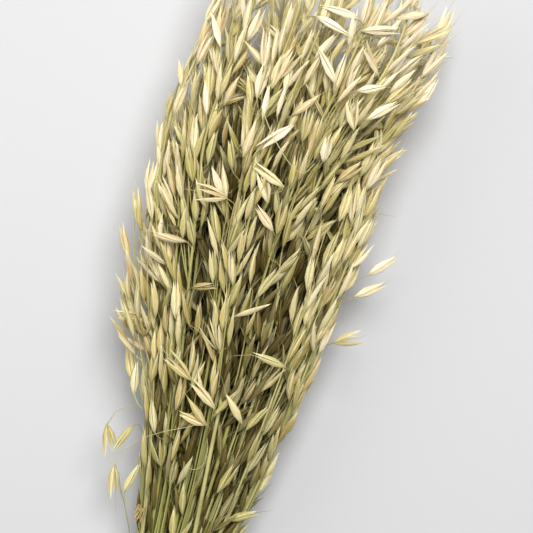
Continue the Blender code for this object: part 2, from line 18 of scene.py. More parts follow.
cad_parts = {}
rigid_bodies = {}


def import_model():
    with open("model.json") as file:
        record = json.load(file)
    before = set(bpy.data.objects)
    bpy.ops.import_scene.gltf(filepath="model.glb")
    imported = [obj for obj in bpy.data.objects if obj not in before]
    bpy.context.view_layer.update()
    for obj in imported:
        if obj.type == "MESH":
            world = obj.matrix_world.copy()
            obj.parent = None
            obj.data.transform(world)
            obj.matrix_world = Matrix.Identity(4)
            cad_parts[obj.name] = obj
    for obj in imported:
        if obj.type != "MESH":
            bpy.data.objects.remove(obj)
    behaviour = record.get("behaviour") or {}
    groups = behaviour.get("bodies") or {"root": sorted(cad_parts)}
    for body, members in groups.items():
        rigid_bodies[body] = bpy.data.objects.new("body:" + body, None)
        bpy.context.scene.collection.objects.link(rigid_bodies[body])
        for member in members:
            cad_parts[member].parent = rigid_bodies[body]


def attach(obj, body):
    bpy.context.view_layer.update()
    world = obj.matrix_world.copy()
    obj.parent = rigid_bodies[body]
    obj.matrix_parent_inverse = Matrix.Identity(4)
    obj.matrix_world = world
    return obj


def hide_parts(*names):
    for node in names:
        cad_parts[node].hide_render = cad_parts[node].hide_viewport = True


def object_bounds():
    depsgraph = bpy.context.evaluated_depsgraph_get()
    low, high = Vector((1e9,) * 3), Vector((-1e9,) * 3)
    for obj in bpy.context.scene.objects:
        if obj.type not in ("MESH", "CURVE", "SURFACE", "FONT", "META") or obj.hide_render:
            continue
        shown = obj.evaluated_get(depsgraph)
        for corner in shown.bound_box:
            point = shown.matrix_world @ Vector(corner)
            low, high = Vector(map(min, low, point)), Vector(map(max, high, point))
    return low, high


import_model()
CAD_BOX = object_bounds()

BODY = "root"
HUSK, STEM = 0, 1
BUNDLE_LENGTH = 0.650
# A place's distance across is its X plus this.
MIDDLE_SHIFT = -0.0006
UP = Vector((0.0, 0.0, 1.0))
LOG = logging.getLogger("bundle")
Pair = tuple[float, float]


def between(values: Pair, share: float) -> float:
    """Returns the number at a share of the way through a pair."""
    return values[0] + (values[1] - values[0]) * share


def tapered(radii: Pair, count: int) -> list[float]:
    """Returns a number of radii that run evenly from the first of a pair to the second."""
    return [between(radii, step / (count - 1)) for step in range(count)]


def eased(share: float) -> float:
    """Returns a share from 0 to 1 with soft ends."""
    share = min(max(share, 0.0), 1.0)
    return share * share * (3.0 - 2.0 * share)


def place(across: float, along: float, height: float) -> Vector:
    """Returns a point from its distances across and along and its height."""
    return Vector((across - MIDDLE_SHIFT, along - BUNDLE_LENGTH / 2, height))


def along_of(point: Vector) -> float:
    """Returns how far along the bundle a point is."""
    return point.y + BUNDLE_LENGTH / 2


def in_box(point: Vector, margin: float) -> bool:
    """Returns whether a point lies in the CAD box, at least a margin from its sides."""
    low, high = CAD_BOX
    return all(low[side] + margin <= point[side] <= high[side] - margin for side in range(3))


def smooth(points: list, steps: int = 6, rounds: int = 6) -> list[Vector]:
    """Returns a smooth line through places.

    Args:
        points: The places.
        steps: How many steps the line takes from one place to the next.
        rounds: How often its corners are rounded.

    Returns:
        The line's points.
    """
    rows = np.array([tuple(point) for point in points])
    spots = np.linspace(0.0, len(rows) - 1.0, steps * (len(rows) - 1) + 1)
    line = np.stack([np.interp(spots, range(len(rows)), rows[:, part]) for part in range(3)], axis=1)
    for _ in range(rounds):
        line[1:-1] = (line[:-2] + line[1:-1] * 2 + line[2:]) / 4
    return [Vector(row) for row in line.tolist()]


def deselect_all() -> None:
    """Leaves nothing selected and nothing active, in object mode."""
    if bpy.context.object and bpy.context.object.mode != "OBJECT":
        bpy.ops.object.mode_set(mode="OBJECT")
    for made in bpy.context.view_layer.objects:
        made.select_set(False)
    bpy.context.view_layer.objects.active = None


@dataclass
class Stalk:
    """One oat stalk: corners of its axis with a radius at each, and the stretch that its head takes."""

    number: int
    ring: float
    points: list[Vector]
    radii: list[float]
    head_from: float
    tip: float

    def at(self, along: float) -> Vector:
        """Returns the point of the cornered axis at a distance along."""
        y = along - BUNDLE_LENGTH / 2
        for start, end in zip(self.points, self.points[1:]):
            if y <= end.y:
                break
        return start.lerp(end, (y - start.y) / (end.y - start.y))


class Form(Enum):
    """How a spikelet's two glumes stand."""

    CLOSED = 0
    PARTED = 1
    OPEN = 2
    WIDE = 3


@dataclass
class Spikelet:
    """One spikelet: the root of its branch, its foot and tip, and its width with its direction.

    The fork is how far apart its points are. A finer one also has the direction of what it grows on.
    """

    root: Vector
    foot: Vector
    tip: Vector
    side: Vector
    half_width: float
    fork: float
    form: Form = Form.CLOSED
    grown: Vector | None = None

    def waist(self) -> Vector:
        """Returns the middle of its thickest section."""
        return self.foot.lerp(self.tip, Heads.waist_place)

    def rods(self) -> tuple:
        """Returns its tapered rods (start, end, radius at each): the branch, then the body's halves."""
        return (
            (self.root, self.foot, Heads.branch_radius, Heads.neck),
            (self.foot, self.waist(), Heads.neck, self.half_width),
            (self.waist(), self.tip, self.half_width, self.fork + Heads.neck / 2),
        )


class Field:
    """All tapered rods placed so far, and the gaps from a new rod to them."""

    room = 24000
    reach = 0.012
    least_spread = 1e-18
    nothing_near = 1.0

    def __init__(self) -> None:
        """Starts with no rods."""
        self.count = 0
        self.starts = np.zeros((self.room, 3))
        self.ends = np.zeros((self.room, 3))
        self.radii = np.zeros((self.room, 2))
        self.owners = np.zeros(self.room, int)
        self.straws = np.zeros(self.room, bool)
        self.lows = np.zeros((self.room, 3))
        self.highs = np.zeros((self.room, 3))

    def add(self, rod: tuple, owner: int, is_straw: bool) -> None:
        """Adds a rod.

        Args:
            rod: Start, end and the radius at each.
            owner: Number of the stalk that it belongs to.
            is_straw: Whether it is a stretch of straw and no part of a spikelet.
        """
        row = self.count
        self.starts[row], self.ends[row] = rod[0], rod[1]
        self.radii[row] = rod[2], rod[3]
        self.owners[row], self.straws[row] = owner, is_straw
        self.lows[row] = np.minimum(self.starts[row], self.ends[row]) - self.reach
        self.highs[row] = np.maximum(self.starts[row], self.ends[row]) + self.reach
        self.count += 1

    def gap(self, rod: tuple, owner: int, own_straw_counts: bool) -> float:
        """Measures the least gap from a rod to those placed.

        Args:
            rod: Start, end and the radius at each.
            owner: Number of the stalk that it belongs to.
            own_straw_counts: Whether that stalk's own straw counts too.

        Returns:
            The gap in metres, negative where they overlap, or 1 where nothing is near.
        """
        first, last = np.array(rod[0]), np.array(rod[1])
        low, high = np.minimum(first, last), np.maximum(first, last)
        near = (self.lows[: self.count] <= high).all(1) & (self.highs[: self.count] >= low).all(1)
        if not own_straw_counts:
            near &= ~((self.owners[: self.count] == owner) & self.straws[: self.count])
        near = np.nonzero(near)[0]
        if not len(near):
            return self.nothing_near
        starts, ends, radii = self.starts[near], self.ends[near], self.radii[near]
        run, runs, offset = last - first, ends - starts, first - starts
        squared = run @ run
        squares = (runs * runs).sum(1)
        across = runs @ run
        on_run = offset @ run
        on_runs = (runs * offset).sum(1)
        spread = np.maximum(squared * squares - across * across, self.least_spread)
        share = np.clip((across * on_runs - on_run * squares) / spread, 0.0, 1.0)
        shares = np.clip((across * share + on_runs) / squares, 0.0, 1.0)
        share = np.clip((across * shares - on_run) / squared, 0.0, 1.0)
        apart = np.linalg.norm(offset + share[:, None] * run - shares[:, None] * runs, axis=1)
        gaps = apart - rod[2] - (rod[3] - rod[2]) * share
        gaps -= radii[:, 0] + (radii[:, 1] - radii[:, 0]) * shares
        return float(gaps.min())


@dataclass
class Fan:
    """The stalks: packed in the tie and fanned out towards both ends, as the solids are."""

    stalks: int = 43
    tie_at: float = 0.130
    pitch: float = 0.00355
    row_step: float = 0.76
    cut_end_height: float = 0.0196
    climb: float = 0.065
    sections: tuple = (
        (0.000, 0.0000, 0.0200, 0.0235),
        (0.122, 0.0000, None, None),
        (0.138, 0.0000, None, None),
        (0.190, 0.0030, 0.0225, 0.0185),
        (0.250, 0.0050, 0.0350, 0.0250),
        (0.330, 0.0020, 0.0500, 0.0345),
        (0.410, -0.0045, 0.0655, 0.0430),
        (0.490, -0.0070, 0.0750, 0.0490),
        (0.570, 0.0050, 0.0755, 0.0520),
        (0.650, 0.0065, 0.0790, 0.0545),
    )
    lean_jitter: float = 0.17
    wander: float = 0.6
    full_jitter_from_tie: float = 0.12
    least_gap: float = 0.0006
    push_rounds: int = 20
    lowest_straw: float = 0.0012
    lowest_rachis: float = 0.0055
    least_step: float = 0.004
    spread_from: float = 0.42
    spread_share: float = 0.35
    straw_radius: float = 0.0016
    neck_radius: float = 0.0010
    rachis_radius: float = 0.00075
    cut_end_spread: float = 0.006
    tallest_middle: float = 0.625
    outer_shorter: float = 0.030
    top_rounding: float = 1.6
    shorter: Pair = (0.050, 0.190)
    head_length: Pair = (0.200, 0.260)
    last_spikelet: float = 0.0260
    end_branch: float = 0.0024

    def packed_places(self) -> list[Pair]:
        """Returns the stalks' places in the tie, in pitches, the nearest to the middle first."""
        rows = math.ceil(math.sqrt(self.stalks))
        places = []
        for row in range(-rows, rows + 1):
            for column in range(-rows, rows + 1):
                places.append((row * self.row_step, column + row / 2))
        places.sort(key=lambda spot: (round(math.hypot(*spot), 6), math.atan2(spot[1], spot[0])))
        return places[: self.stalks]

    def packed_radius(self) -> float:
        """Returns how far the outermost stalk is from the middle of the tie."""
        return self.pitch * max(math.hypot(*spot) for spot in self.packed_places())

    def middle_height(self, along: float) -> float:
        """Returns the height of the bundle's middle line."""
        return self.cut_end_height + self.climb * along

    def sway(self, along: float) -> float:
        """Returns how far the middle line is across at a distance along."""
        return float(np.interp(along, [row[0] for row in self.sections], [row[1] for row in self.sections]))

    def off_middle(self, point: Vector) -> Pair:
        """Returns how far a point is from the middle line, across and up."""
        along = along_of(point)
        return point.x + MIDDLE_SHIFT - self.sway(along), point.z - self.middle_height(along)

    def corner(self, spot: tuple, ring: float, section: tuple, lean: tuple, packed: float) -> Vector:
        """Works out one corner of a stalk's axis.

        Args:
            spot: Its place in the tie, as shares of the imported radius.
            ring: How far out that is, from 0 to 1.
            section: The fan there: along, sway, half width, half height.
            lean: How far the stalk leans off the even fan there.
            packed: Radius of the packing.

        Returns:
            The corner.
        """
        along, sway, wide, high = section
        late = eased((along - self.spread_from) / (BUNDLE_LENGTH - self.spread_from))
        scale = 1.0
        if ring > 0.0:
            power = 1.0 - self.spread_share * late
            scale = (ring / (1.0 - self.spread_share * late)) ** power / ring
        across = sway + spot[0] * scale * wide
        height = spot[1] * scale * high
        if wide > packed:
            looseness = self.pitch * self.lean_jitter / packed
            looseness *= min(abs(along - self.tie_at) / self.full_jitter_from_tie, 1.0)
            across += lean[0] * looseness * wide
            height += lean[1] * looseness * high
            outside = max(math.hypot((across - sway) / wide, height / high), 1.0)
            across = sway + (across - sway) / outside
            height /= outside
        settled = eased((along - self.tie_at) / (self.spread_from - self.tie_at))
        lowest = self.lowest_straw + (self.lowest_rachis - self.lowest_straw) * settled
        return place(across, along, max(self.middle_height(along) + height, lowest))

    def radius(self, along: float, head_from: float, tip: float) -> float:
        """Returns a stalk's radius at a distance along, from where its head starts and ends."""
        if along <= self.tie_at:
            return self.straw_radius
        if along <= head_from:
            share = (along - self.tie_at) / (head_from - self.tie_at)
            return between((self.straw_radius, self.neck_radius), share)
        return between((self.neck_radius, self.rachis_radius), (along - head_from) / (tip - head_from))

    def push_apart(self, corners: list[Vector]) -> None:
        """Moves corners of one section apart, in place, until each pair clears two straws and a gap."""
        least = 2 * self.straw_radius + self.least_gap
        floor = min(corner.z for corner in corners)
        for _ in range(self.push_rounds):
            for number, one in enumerate(corners):
                for other in corners[number + 1 :]:
                    apart = other - one
                    short = least - apart.length
                    if short > 0.0:
                        push = apart.normalized() * short / 2
                        one -= push
                        other += push
                        one.z = max(one.z, floor)
                        other.z = max(other.z, floor)

    def grow(self, rng: random.Random) -> list[Stalk]:
        """Returns all stalks, drawn with the given source of chance."""
        packed = self.packed_radius()
        widest = packed / self.pitch
        fan = [(along, sway, wide or packed, high or packed) for along, sway, wide, high in self.sections]
        drafts = []
        for spot in self.packed_places():
            ring = math.hypot(*spot) / widest
            unit = (spot[0] / widest, spot[1] / widest)
            lean = (rng.uniform(-1, 1), rng.uniform(-1, 1))
            tip = self.tallest_middle - self.outer_shorter * ring**self.top_rounding
            tip -= between(self.shorter, ring) * rng.random()
            head = between(self.head_length, rng.random())
            drafts.append((unit, ring, lean, tip, head, rng.uniform(0, self.cut_end_spread)))
        short_of = BUNDLE_LENGTH - max(draft[3] for draft in drafts)
        rows = []
        for unit, ring, lean, *_ in drafts:
            off = []
            for _ in fan:
                off.append((lean[0] + rng.uniform(-self.wander, self.wander),
                            lean[1] + rng.uniform(-self.wander, self.wander)))
            pairs = zip(fan, off)
            rows.append([self.corner(unit, ring, section, wander, packed) for section, wander in pairs])
        for step, section in enumerate(fan):
            if section[2] > packed:
                least_tip = section[0] - self.head_length[0] - short_of
                self.push_apart([row[step] for row, draft in zip(rows, drafts) if draft[3] > least_tip])
        stalks = []
        for number, (corners, (_, ring, _, tip, head, cut)) in enumerate(zip(rows, drafts), 1):
            tip += short_of
            last = tip - self.last_spikelet - self.end_branch
            whole = Stalk(number, ring, corners, [], tip - head, tip)
            first_y, last_y = cut - BUNDLE_LENGTH / 2, last - BUNDLE_LENGTH / 2
            inner = [c for c in corners if first_y + self.least_step < c.y < last_y - self.least_step]
            points = [whole.at(cut), *inner, whole.at(last)]
            radii = [self.radius(along_of(point), tip - head, tip) for point in points]
            stalks.append(Stalk(number, ring, points, radii, tip - head, tip))
        return stalks


class SmoothAxis:
    """A smooth line through a stalk's corners, read by its distance along."""

    probe = 0.001

    def __init__(self, stalk: Stalk) -> None:
        """Works out the slopes at the stalk's corners."""
        rows = np.array([(along_of(point), point.x, point.z) for point in stalk.points])
        self.along, self.off, self.radii = rows[:, 0], rows[:, 1:], np.array(stalk.radii)
        secants = np.diff(self.off, axis=0) / np.diff(self.along)[:, None]
        middle = (secants[1:] + secants[:-1]) / 2
        self.slopes = np.vstack([secants[:1], middle, secants[-1:]])

    def at(self, along: float) -> Vector:
        """Returns the point at a distance along."""
        step = int(np.clip(np.searchsorted(self.along, along) - 1, 0, len(self.along) - 2))
        run = self.along[step + 1] - self.along[step]
        share = min(max((along - self.along[step]) / run, 0.0), 1.0)
        square, cube = share**2, share**3
        off = (2 * cube - 3 * square + 1) * self.off[step] + (3 * square - 2 * cube) * self.off[step + 1]
        off = off + (cube - 2 * square + share) * run * self.slopes[step]
        off = off + (cube - square) * run * self.slopes[step + 1]
        return Vector((off[0], along - BUNDLE_LENGTH / 2, off[1]))

    def direction(self, along: float) -> Vector:
        """Returns the direction of the line at a distance along."""
        return (self.at(along + self.probe) - self.at(along - self.probe)).normalized()

    def radius(self, along: float) -> float:
        """Returns the straw's radius at a distance along."""
        return float(np.interp(along, self.along, self.radii))


class Growth:
    """The bundle as it grows: its stalks, their smooth axes and spikelets, and the space they take."""

    below_tip = 0.04

    def __init__(self, stalks: list[Stalk], rng: random.Random) -> None:
        """Fills the space with the straws.

        Args:
            stalks: All stalks.
            rng: The source of chance.
        """
        self.stalks = stalks
        self.rng = rng
        self.axes = {stalk.number: SmoothAxis(stalk) for stalk in stalks}
        self.heads: dict[int, list[Spikelet]] = {stalk.number: [] for stalk in stalks}
        self.space = Field()
        for stalk in stalks:
            for step, (start, end) in enumerate(zip(stalk.points, stalk.points[1:])):
                self.space.add((start, end, stalk.radii[step], stalk.radii[step + 1]), stalk.number, True)

    def put(self, one: Spikelet, owner: int) -> None:
        """Takes a spikelet into its stalk's head and into the space."""
        self.heads[owner].append(one)
        for rod in one.rods():
            self.space.add(rod, owner, False)

    def bearer(self, along: float, foot: Vector) -> Stalk:
        """Returns the stalk nearest to a foot at a distance along, of those that reach well past that."""
        bearing = [stalk for stalk in self.stalks if along < stalk.tip - self.below_tip]
        return min(bearing, key=lambda stalk: (stalk.at(along) - foot).length)


@dataclass
class Twig:
    """A fine side branch of a head: its points, from root to end, with a radius at each."""

    points: list[Vector]
    radii: list[float]


@dataclass
class Heads:
    """The spikelets that the solids have, drawn in the same order as there, and the heads' outline."""

    fan: Fan
    waist_place = 0.42
    branch_radius = 0.00045
    neck = 0.00060
    on_inner: int = 8
    on_outer: int = 10
    outer_ring: float = 0.70
    last_branch_back: float = 0.018
    end_tilt: float = 9.0
    turn_outward: float = 0.35
    length: Pair = (0.0215, 0.0260)
    half_width: Pair = (0.0024, 0.0030)
    half_depth: float = 0.00175
    fork: Pair = (0.0006, 0.0014)
    branch_length: Pair = (0.007, 0.014)
    branch_angle: Pair = (22.0, 50.0)
    body_angle: Pair = (3.0, 24.0)
    crossing_angle: Pair = (28.0, 55.0)
    crossing_share: float = 0.10
    branch_turn: float = 0.5
    body_turn: float = 0.7
    clearance: float = 0.0005
    tries: int = 40
    outline: tuple = (
        (0.230, 0.039, 0.030),
        (0.290, 0.048, 0.037),
        (0.340, 0.058, 0.042),
        (0.390, 0.067, 0.048),
        (0.460, 0.079, 0.055),
        (0.530, 0.082, 0.059),
        (0.575, 0.083, 0.061),
        (0.650, 0.085, 0.062),
    )
    resting_height: float = 0.0012
    pressed_depth: float = 0.0006
    resting: int = 8
    resting_stretch: Pair = (0.40, 0.60)
    resting_below_tip: float = 0.05
    resting_middle: float = 0.48
    resting_ahead: float = 0.004
    resting_beside: float = 0.006
    resting_lean: float = 0.3
    resting_tries: int = 160
    strays: tuple = (
        (1, 0.408, (0.0749, 0.4286, 0.052), (0.0904, 0.4461, 0.054)),
        (1, 0.392, (0.0706, 0.4123, 0.043), (0.0890, 0.4272, 0.040)),
        (1, 0.360, (0.0650, 0.3791, 0.047), (0.0849, 0.3889, 0.050)),
        (1, 0.236, (0.0340, 0.2500, 0.036), (0.0480, 0.2690, 0.036)),
        (-1, 0.3015, (-0.0640, 0.2860, 0.046), (-0.0560, 0.2650, 0.041)),
        (-1, 0.280, (-0.0520, 0.2610, 0.038), (-0.0450, 0.2385, 0.037)),
        (-1, 0.333, (-0.0690, 0.3610, 0.044), (-0.0815, 0.3830, 0.045)),
        (-1, 0.368, (-0.0800, 0.3955, 0.046), (-0.0925, 0.4175, 0.048)),
        (-1, 0.390, (-0.0800, 0.4190, 0.052), (-0.0895, 0.4425, 0.054)),
        (-1, 0.412, (-0.0795, 0.4400, 0.060), (-0.0820, 0.4650, 0.062)),
    )
    parted_from: float = 0.45
    open_from: float = 0.85
    open_margin: float = 0.006
    stray_roll: float = 0.3
    stray_half_width: float = 0.0028
    stray_fork: float = 0.0013

    def outline_at(self, along: float) -> Pair:
        """Returns the half width and the half height of the heads' outline at a distance along."""
        rows = np.array(self.outline)
        wide, high = (float(np.interp(along, rows[:, 0], rows[:, part])) for part in (1, 2))
        return wide, high

    def squared_share(self, point: Vector, radius: float) -> float:
        """Returns how far out to the heads' outline a point with some radius round it is, squared."""
        across, height = self.fan.off_middle(point)
        wide, high = self.outline_at(along_of(point))
        return (across / (wide - radius)) ** 2 + (height / (high - radius)) ** 2

    def inside_outline(self, point: Vector, radius: float) -> bool:
        """Returns whether a point with a radius round it lies in the outline and above the surface."""
        lowest = min(radius, self.half_depth) - self.pressed_depth
        return self.squared_share(point, radius) <= 1.0 and point.z >= lowest

    def outward(self, point: Vector) -> float:
        """Returns the angle, round the bundle, of the way out from its middle line at a point."""
        across, height = self.fan.off_middle(point)
        return math.atan2(height, across)

    @staticmethod
    def tilted(line: Vector, angle_round: float, angle_off: float) -> Vector:
        """Returns a direction that leans off a line by one angle, to the side that the other angle gives."""
        away = Vector((math.cos(angle_round), 0.0, math.sin(angle_round)))
        away = (away - line * away.dot(line)).normalized()
        return line * math.cos(angle_off) + away * math.sin(angle_off)

    @staticmethod
    def width_direction(body: Vector, roll: float) -> Vector:
        """Returns a direction square to a spikelet's body, turned round it by a roll."""
        flat = body.cross(UP)
        flat = flat.normalized() if flat.length > 1e-6 else Vector((1.0, 0.0, 0.0))
        return flat * math.cos(roll) + body.cross(flat) * math.sin(roll)

    def drawn(self, stalk: Stalk, along: float, angle_round: float, rng: random.Random) -> Spikelet:
        """Returns a spikelet on a stalk with its lengths and angles drawn at random."""
        root = stalk.at(along)
        line = (stalk.at(along + self.fan.least_step) - root).normalized()
        angle_round += rng.uniform(-self.branch_turn, self.branch_turn)
        branch = self.tilted(line, angle_round, math.radians(between(self.branch_angle, rng.random())))
        angles = self.crossing_angle if rng.random() < self.crossing_share else self.body_angle
        body_round = angle_round + rng.uniform(-self.body_turn, self.body_turn)
        body = self.tilted(line, body_round, math.radians(between(angles, rng.random())))
        foot = root + branch * between(self.branch_length, rng.random())
        tip = foot + body * between(self.length, rng.random())
        side = self.width_direction(body, rng.uniform(0, math.pi))
        half_width = between(self.half_width, rng.random())
        return Spikelet(root, foot, tip, side, half_width, between(self.fork, rng.random()))

    def fits(self, one: Spikelet, owner: int, space: Field) -> bool:
        """Returns whether a spikelet of a stalk clears everything placed so far."""
        branch, lower, upper = one.rods()
        if space.gap(branch, owner, False) < self.clearance:
            return False
        return min(space.gap(half, owner, True) for half in (lower, upper)) >= self.clearance

    def ends(self, growth: Growth) -> None:
        """Puts the spikelet that ends each stalk, nearly in line with it."""
        rng = growth.rng
        for stalk in growth.stalks:
            root = stalk.points[-1]
            line = (root - stalk.points[-2]).normalized()
            foot = root + line * self.fan.end_branch
            for _ in range(self.tries):
                turn = rng.uniform(-math.pi, math.pi)
                body = self.tilted(line, turn, math.radians(self.end_tilt) * rng.random())
                side = self.width_direction(body, rng.uniform(0, math.pi))
                tip = foot + body * self.length[1]
                one = Spikelet(root, foot, tip, side, self.half_width[1], self.fork[1])
                if self.fits(one, stalk.number, growth.space):
                    break
            growth.put(one, stalk.number)

    def stray(self, growth: Growth) -> None:
        """Puts the strays past the outline, each on the stalk nearest to it."""
        for turn, along, foot_place, tip_place in self.strays:
            foot, tip = place(*foot_place), place(*tip_place)
            near = growth.bearer(along, foot)
            side = self.width_direction((tip - foot).normalized(), self.stray_roll * turn)
            one = Spikelet(near.at(along), foot, tip, side, self.stray_half_width, self.stray_fork)
            growth.put(one, near.number)

    def rest(self, growth: Growth) -> None:
        """Puts the spikelets under the lowest heads, which lie level on the surface."""
        rng = growth.rng
        found = 0
        middle = self.resting_middle
        lasts = {stalk.number: stalk.tip - self.resting_below_tip for stalk in growth.stalks}
        lowest_first = sorted(growth.stalks, key=lambda one: one.at(min(lasts[one.number], middle)).z)
        for stalk in lowest_first:
            first = max(stalk.head_from, self.resting_stretch[0])
            last = min(lasts[stalk.number], self.resting_stretch[1])
            for _ in range(self.resting_tries):
                root = stalk.at(rng.uniform(first, last))
                drop = root.z - self.resting_height
                x = root.x + rng.uniform(-self.resting_beside, self.resting_beside)
                foot = Vector((x, root.y + drop + self.resting_ahead, self.resting_height))
                body = Vector((rng.uniform(-self.resting_lean, self.resting_lean), 1.0, 0.0)).normalized()
                tip = foot + body * self.length[1]
                fork = between(self.fork, rng.random())
                one = Spikelet(root, foot, tip, body.cross(UP), self.half_width[1], fork)
                if self.fits(one, stalk.number, growth.space):
                    growth.put(one, stalk.number)
                    found += 1
                    break
            if found == self.resting:
                return

    def main_ones(self, growth: Growth) -> None:
        """Puts the spikelets of the solids, level by level up the heads."""
        rng = growth.rng
        for level in range(self.on_outer):
            for stalk in growth.stalks:
                levels = self.on_outer if stalk.ring > self.outer_ring else self.on_inner
                if level >= levels:
                    continue
                usable = stalk.tip - self.length[1] - self.last_branch_back - stalk.head_from
                turn = math.pi * (1.0 - self.turn_outward * stalk.ring)
                for _ in range(self.tries):
                    along = stalk.head_from + usable * (level + rng.random()) / levels
                    angle = self.outward(stalk.at(along)) + rng.uniform(-turn, turn)
                    one = self.drawn(stalk, along, angle, rng)
                    inside = self.inside_outline(one.tip, one.fork)
                    inside = inside and self.inside_outline(one.waist(), one.half_width)
                    if inside and self.fits(one, stalk.number, growth.space):
                        growth.put(one, stalk.number)
                        break

    def give_forms(self, growth: Growth) -> None:
        """Chooses how far open each spikelet of the solids is, from how far apart its points are."""
        for head in growth.heads.values():
            for one in head:
                share = (one.fork - self.fork[0]) / (self.fork[1] - self.fork[0])
                one.form = Form.PARTED if share > self.parted_from else Form.CLOSED
                if share > self.open_from and in_box(one.tip, self.open_margin):
                    one.form = Form.OPEN


@dataclass
class FinerHeads:
    """What the finished heads have beyond the solids: side branches, low shoots, and many more spikelets."""

    heads: Heads
    growth: Growth
    twigs_inner: int = 3
    twigs_outer: int = 4
    twig_tries: int = 4
    twig_start: Pair = (-0.14, 0.42)
    twig_length: Pair = (0.060, 0.125)
    twig_offset: Pair = (0.006, 0.019)
    twig_end_back: float = 0.030
    twig_turn_outward: float = 0.45
    twig_curl: float = 0.5
    twig_points: int = 8
    twig_radius: Pair = (0.00050, 0.00028)
    twig_bare: float = 0.22
    twig_spacing: float = 0.0095
    twig_jitter: Pair = (0.7, 1.3)
    twig_last_gap: float = 0.004
    shoot_start: Pair = (0.150, 0.200)
    shoot_end: Pair = (0.300, 0.430)
    shoot_offset: Pair = (0.004, 0.013)
    shoot_radius: Pair = (0.00095, 0.00035)
    shoot_from: float = 0.205
    two_shoots_ring: float = 0.50
    stalk_ends: Pair = (0.015, 0.045)
    stalk_spacing: float = 0.0075
    stalk_jitter: Pair = (0.5, 1.5)
    pedicel: Pair = (0.003, 0.012)
    pedicel_angle: Pair = (12.0, 50.0)
    body_angle: Pair = (1.0, 32.0)
    body_turn: float = 0.9
    crossing_angle: Pair = (28.0, 82.0)
    crossing_share: Pair = (0.22, 0.42)
    crossing_from: float = 0.42
    crossing_run: float = 0.16
    splay: float = 0.44
    splay_left: float = 0.32
    splay_right: float = 0.42
    splay_run: float = 0.15
    airy_share: float = 0.64
    airy_from: float = 0.60
    airy_fade: float = 0.25
    airy_along: Pair = (0.33, 0.40)
    airy_is: float = 0.15
    bare_share: float = 0.55
    bare_along: Pair = (0.36, 0.26)
    bulge_middle: tuple[float, float, float] = (-0.0690, 0.4050, 0.0550)
    bulge_half: tuple[float, float, float] = (0.0220, 0.0850, 0.0300)
    bulge_twigs: tuple = (
        ((-0.046, 0.290, 0.050), (-0.058, 0.330, 0.050), (-0.069, 0.370, 0.049), (-0.077, 0.410, 0.050)),
        ((-0.048, 0.305, 0.060), (-0.061, 0.350, 0.060), (-0.072, 0.395, 0.060), (-0.078, 0.440, 0.061)),
        ((-0.046, 0.300, 0.040), (-0.060, 0.345, 0.040), (-0.069, 0.385, 0.039), (-0.073, 0.420, 0.040)),
        ((-0.050, 0.340, 0.066), (-0.064, 0.385, 0.068), (-0.073, 0.430, 0.069), (-0.077, 0.470, 0.070)),
        ((-0.052, 0.325, 0.053), (-0.066, 0.365, 0.054), (-0.076, 0.395, 0.054), (-0.083, 0.422, 0.054)),
        ((-0.056, 0.380, 0.072), (-0.068, 0.420, 0.075), (-0.075, 0.455, 0.077), (-0.078, 0.490, 0.079)),
    )
    length: Pair = (0.0215, 0.0282)
    half_width: Pair = (0.0019, 0.0028)
    overlap: float = 0.0009
    tries: int = 9
    edge: float = 0.004
    form_weights: tuple = (34, 36, 20, 10)
    airy_weights: tuple = (10, 26, 34, 30)
    form_forks: tuple = (0.0005, 0.0011, 0.0020, 0.0032)

    def route(
        self, axis: SmoothAxis, stretch: tuple, angle: float, offset: float, curl: float
    ) -> list[Vector]:
        """Draws the line of a side branch.

        Args:
            axis: The smooth axis of the stalk that it grows on.
            stretch: Where along it starts and ends.
            angle: The side that it grows to, round the bundle.
            offset: How far from the stalk it ends.
            curl: How far it turns round the stalk on its way.

        Returns:
            Its points.
        """
        points = []
        for step in range(self.twig_points):
            share = step / (self.twig_points - 1)
            along = between(stretch, share)
            away = self.heads.tilted(axis.direction(along), angle + curl * share, math.pi / 2)
            points.append(axis.at(along) + away * offset * (1.0 - (1.0 - share) ** 2))
        return points

    def side_branch(self, stalk: Stalk, low: bool) -> Twig | None:
        """Draws a side branch of a stalk.

        Args:
            stalk: The stalk.
            low: Whether it is a shoot that starts below the stalk's own head.

        Returns:
            The branch, or nothing where it would leave the heads' outline.
        """
        rng, axis = self.growth.rng, self.growth.axes[stalk.number]
        if low:
            first, last = between(self.shoot_start, rng.random()), between(self.shoot_end, rng.random())
            offset, radii = between(self.shoot_offset, rng.random()), self.shoot_radius
        else:
            head = stalk.tip - stalk.head_from
            first = stalk.head_from + head * between(self.twig_start, rng.random())
            last = first + between(self.twig_length, rng.random())
            offset, radii = between(self.twig_offset, rng.random()), self.twig_radius
        last = min(last, stalk.tip - self.twig_end_back)
        turn = math.pi * (1.0 - self.twig_turn_outward * stalk.ring)
        angle = self.heads.outward(axis.at(first)) + rng.uniform(-turn, turn)
        points = self.route(axis, (first, last), angle, offset, rng.uniform(-self.twig_curl, self.twig_curl))
        if not all(self.heads.inside_outline(point, self.edge) for point in points[1:]):
            return None
        return Twig(points, tapered(radii, len(points)))

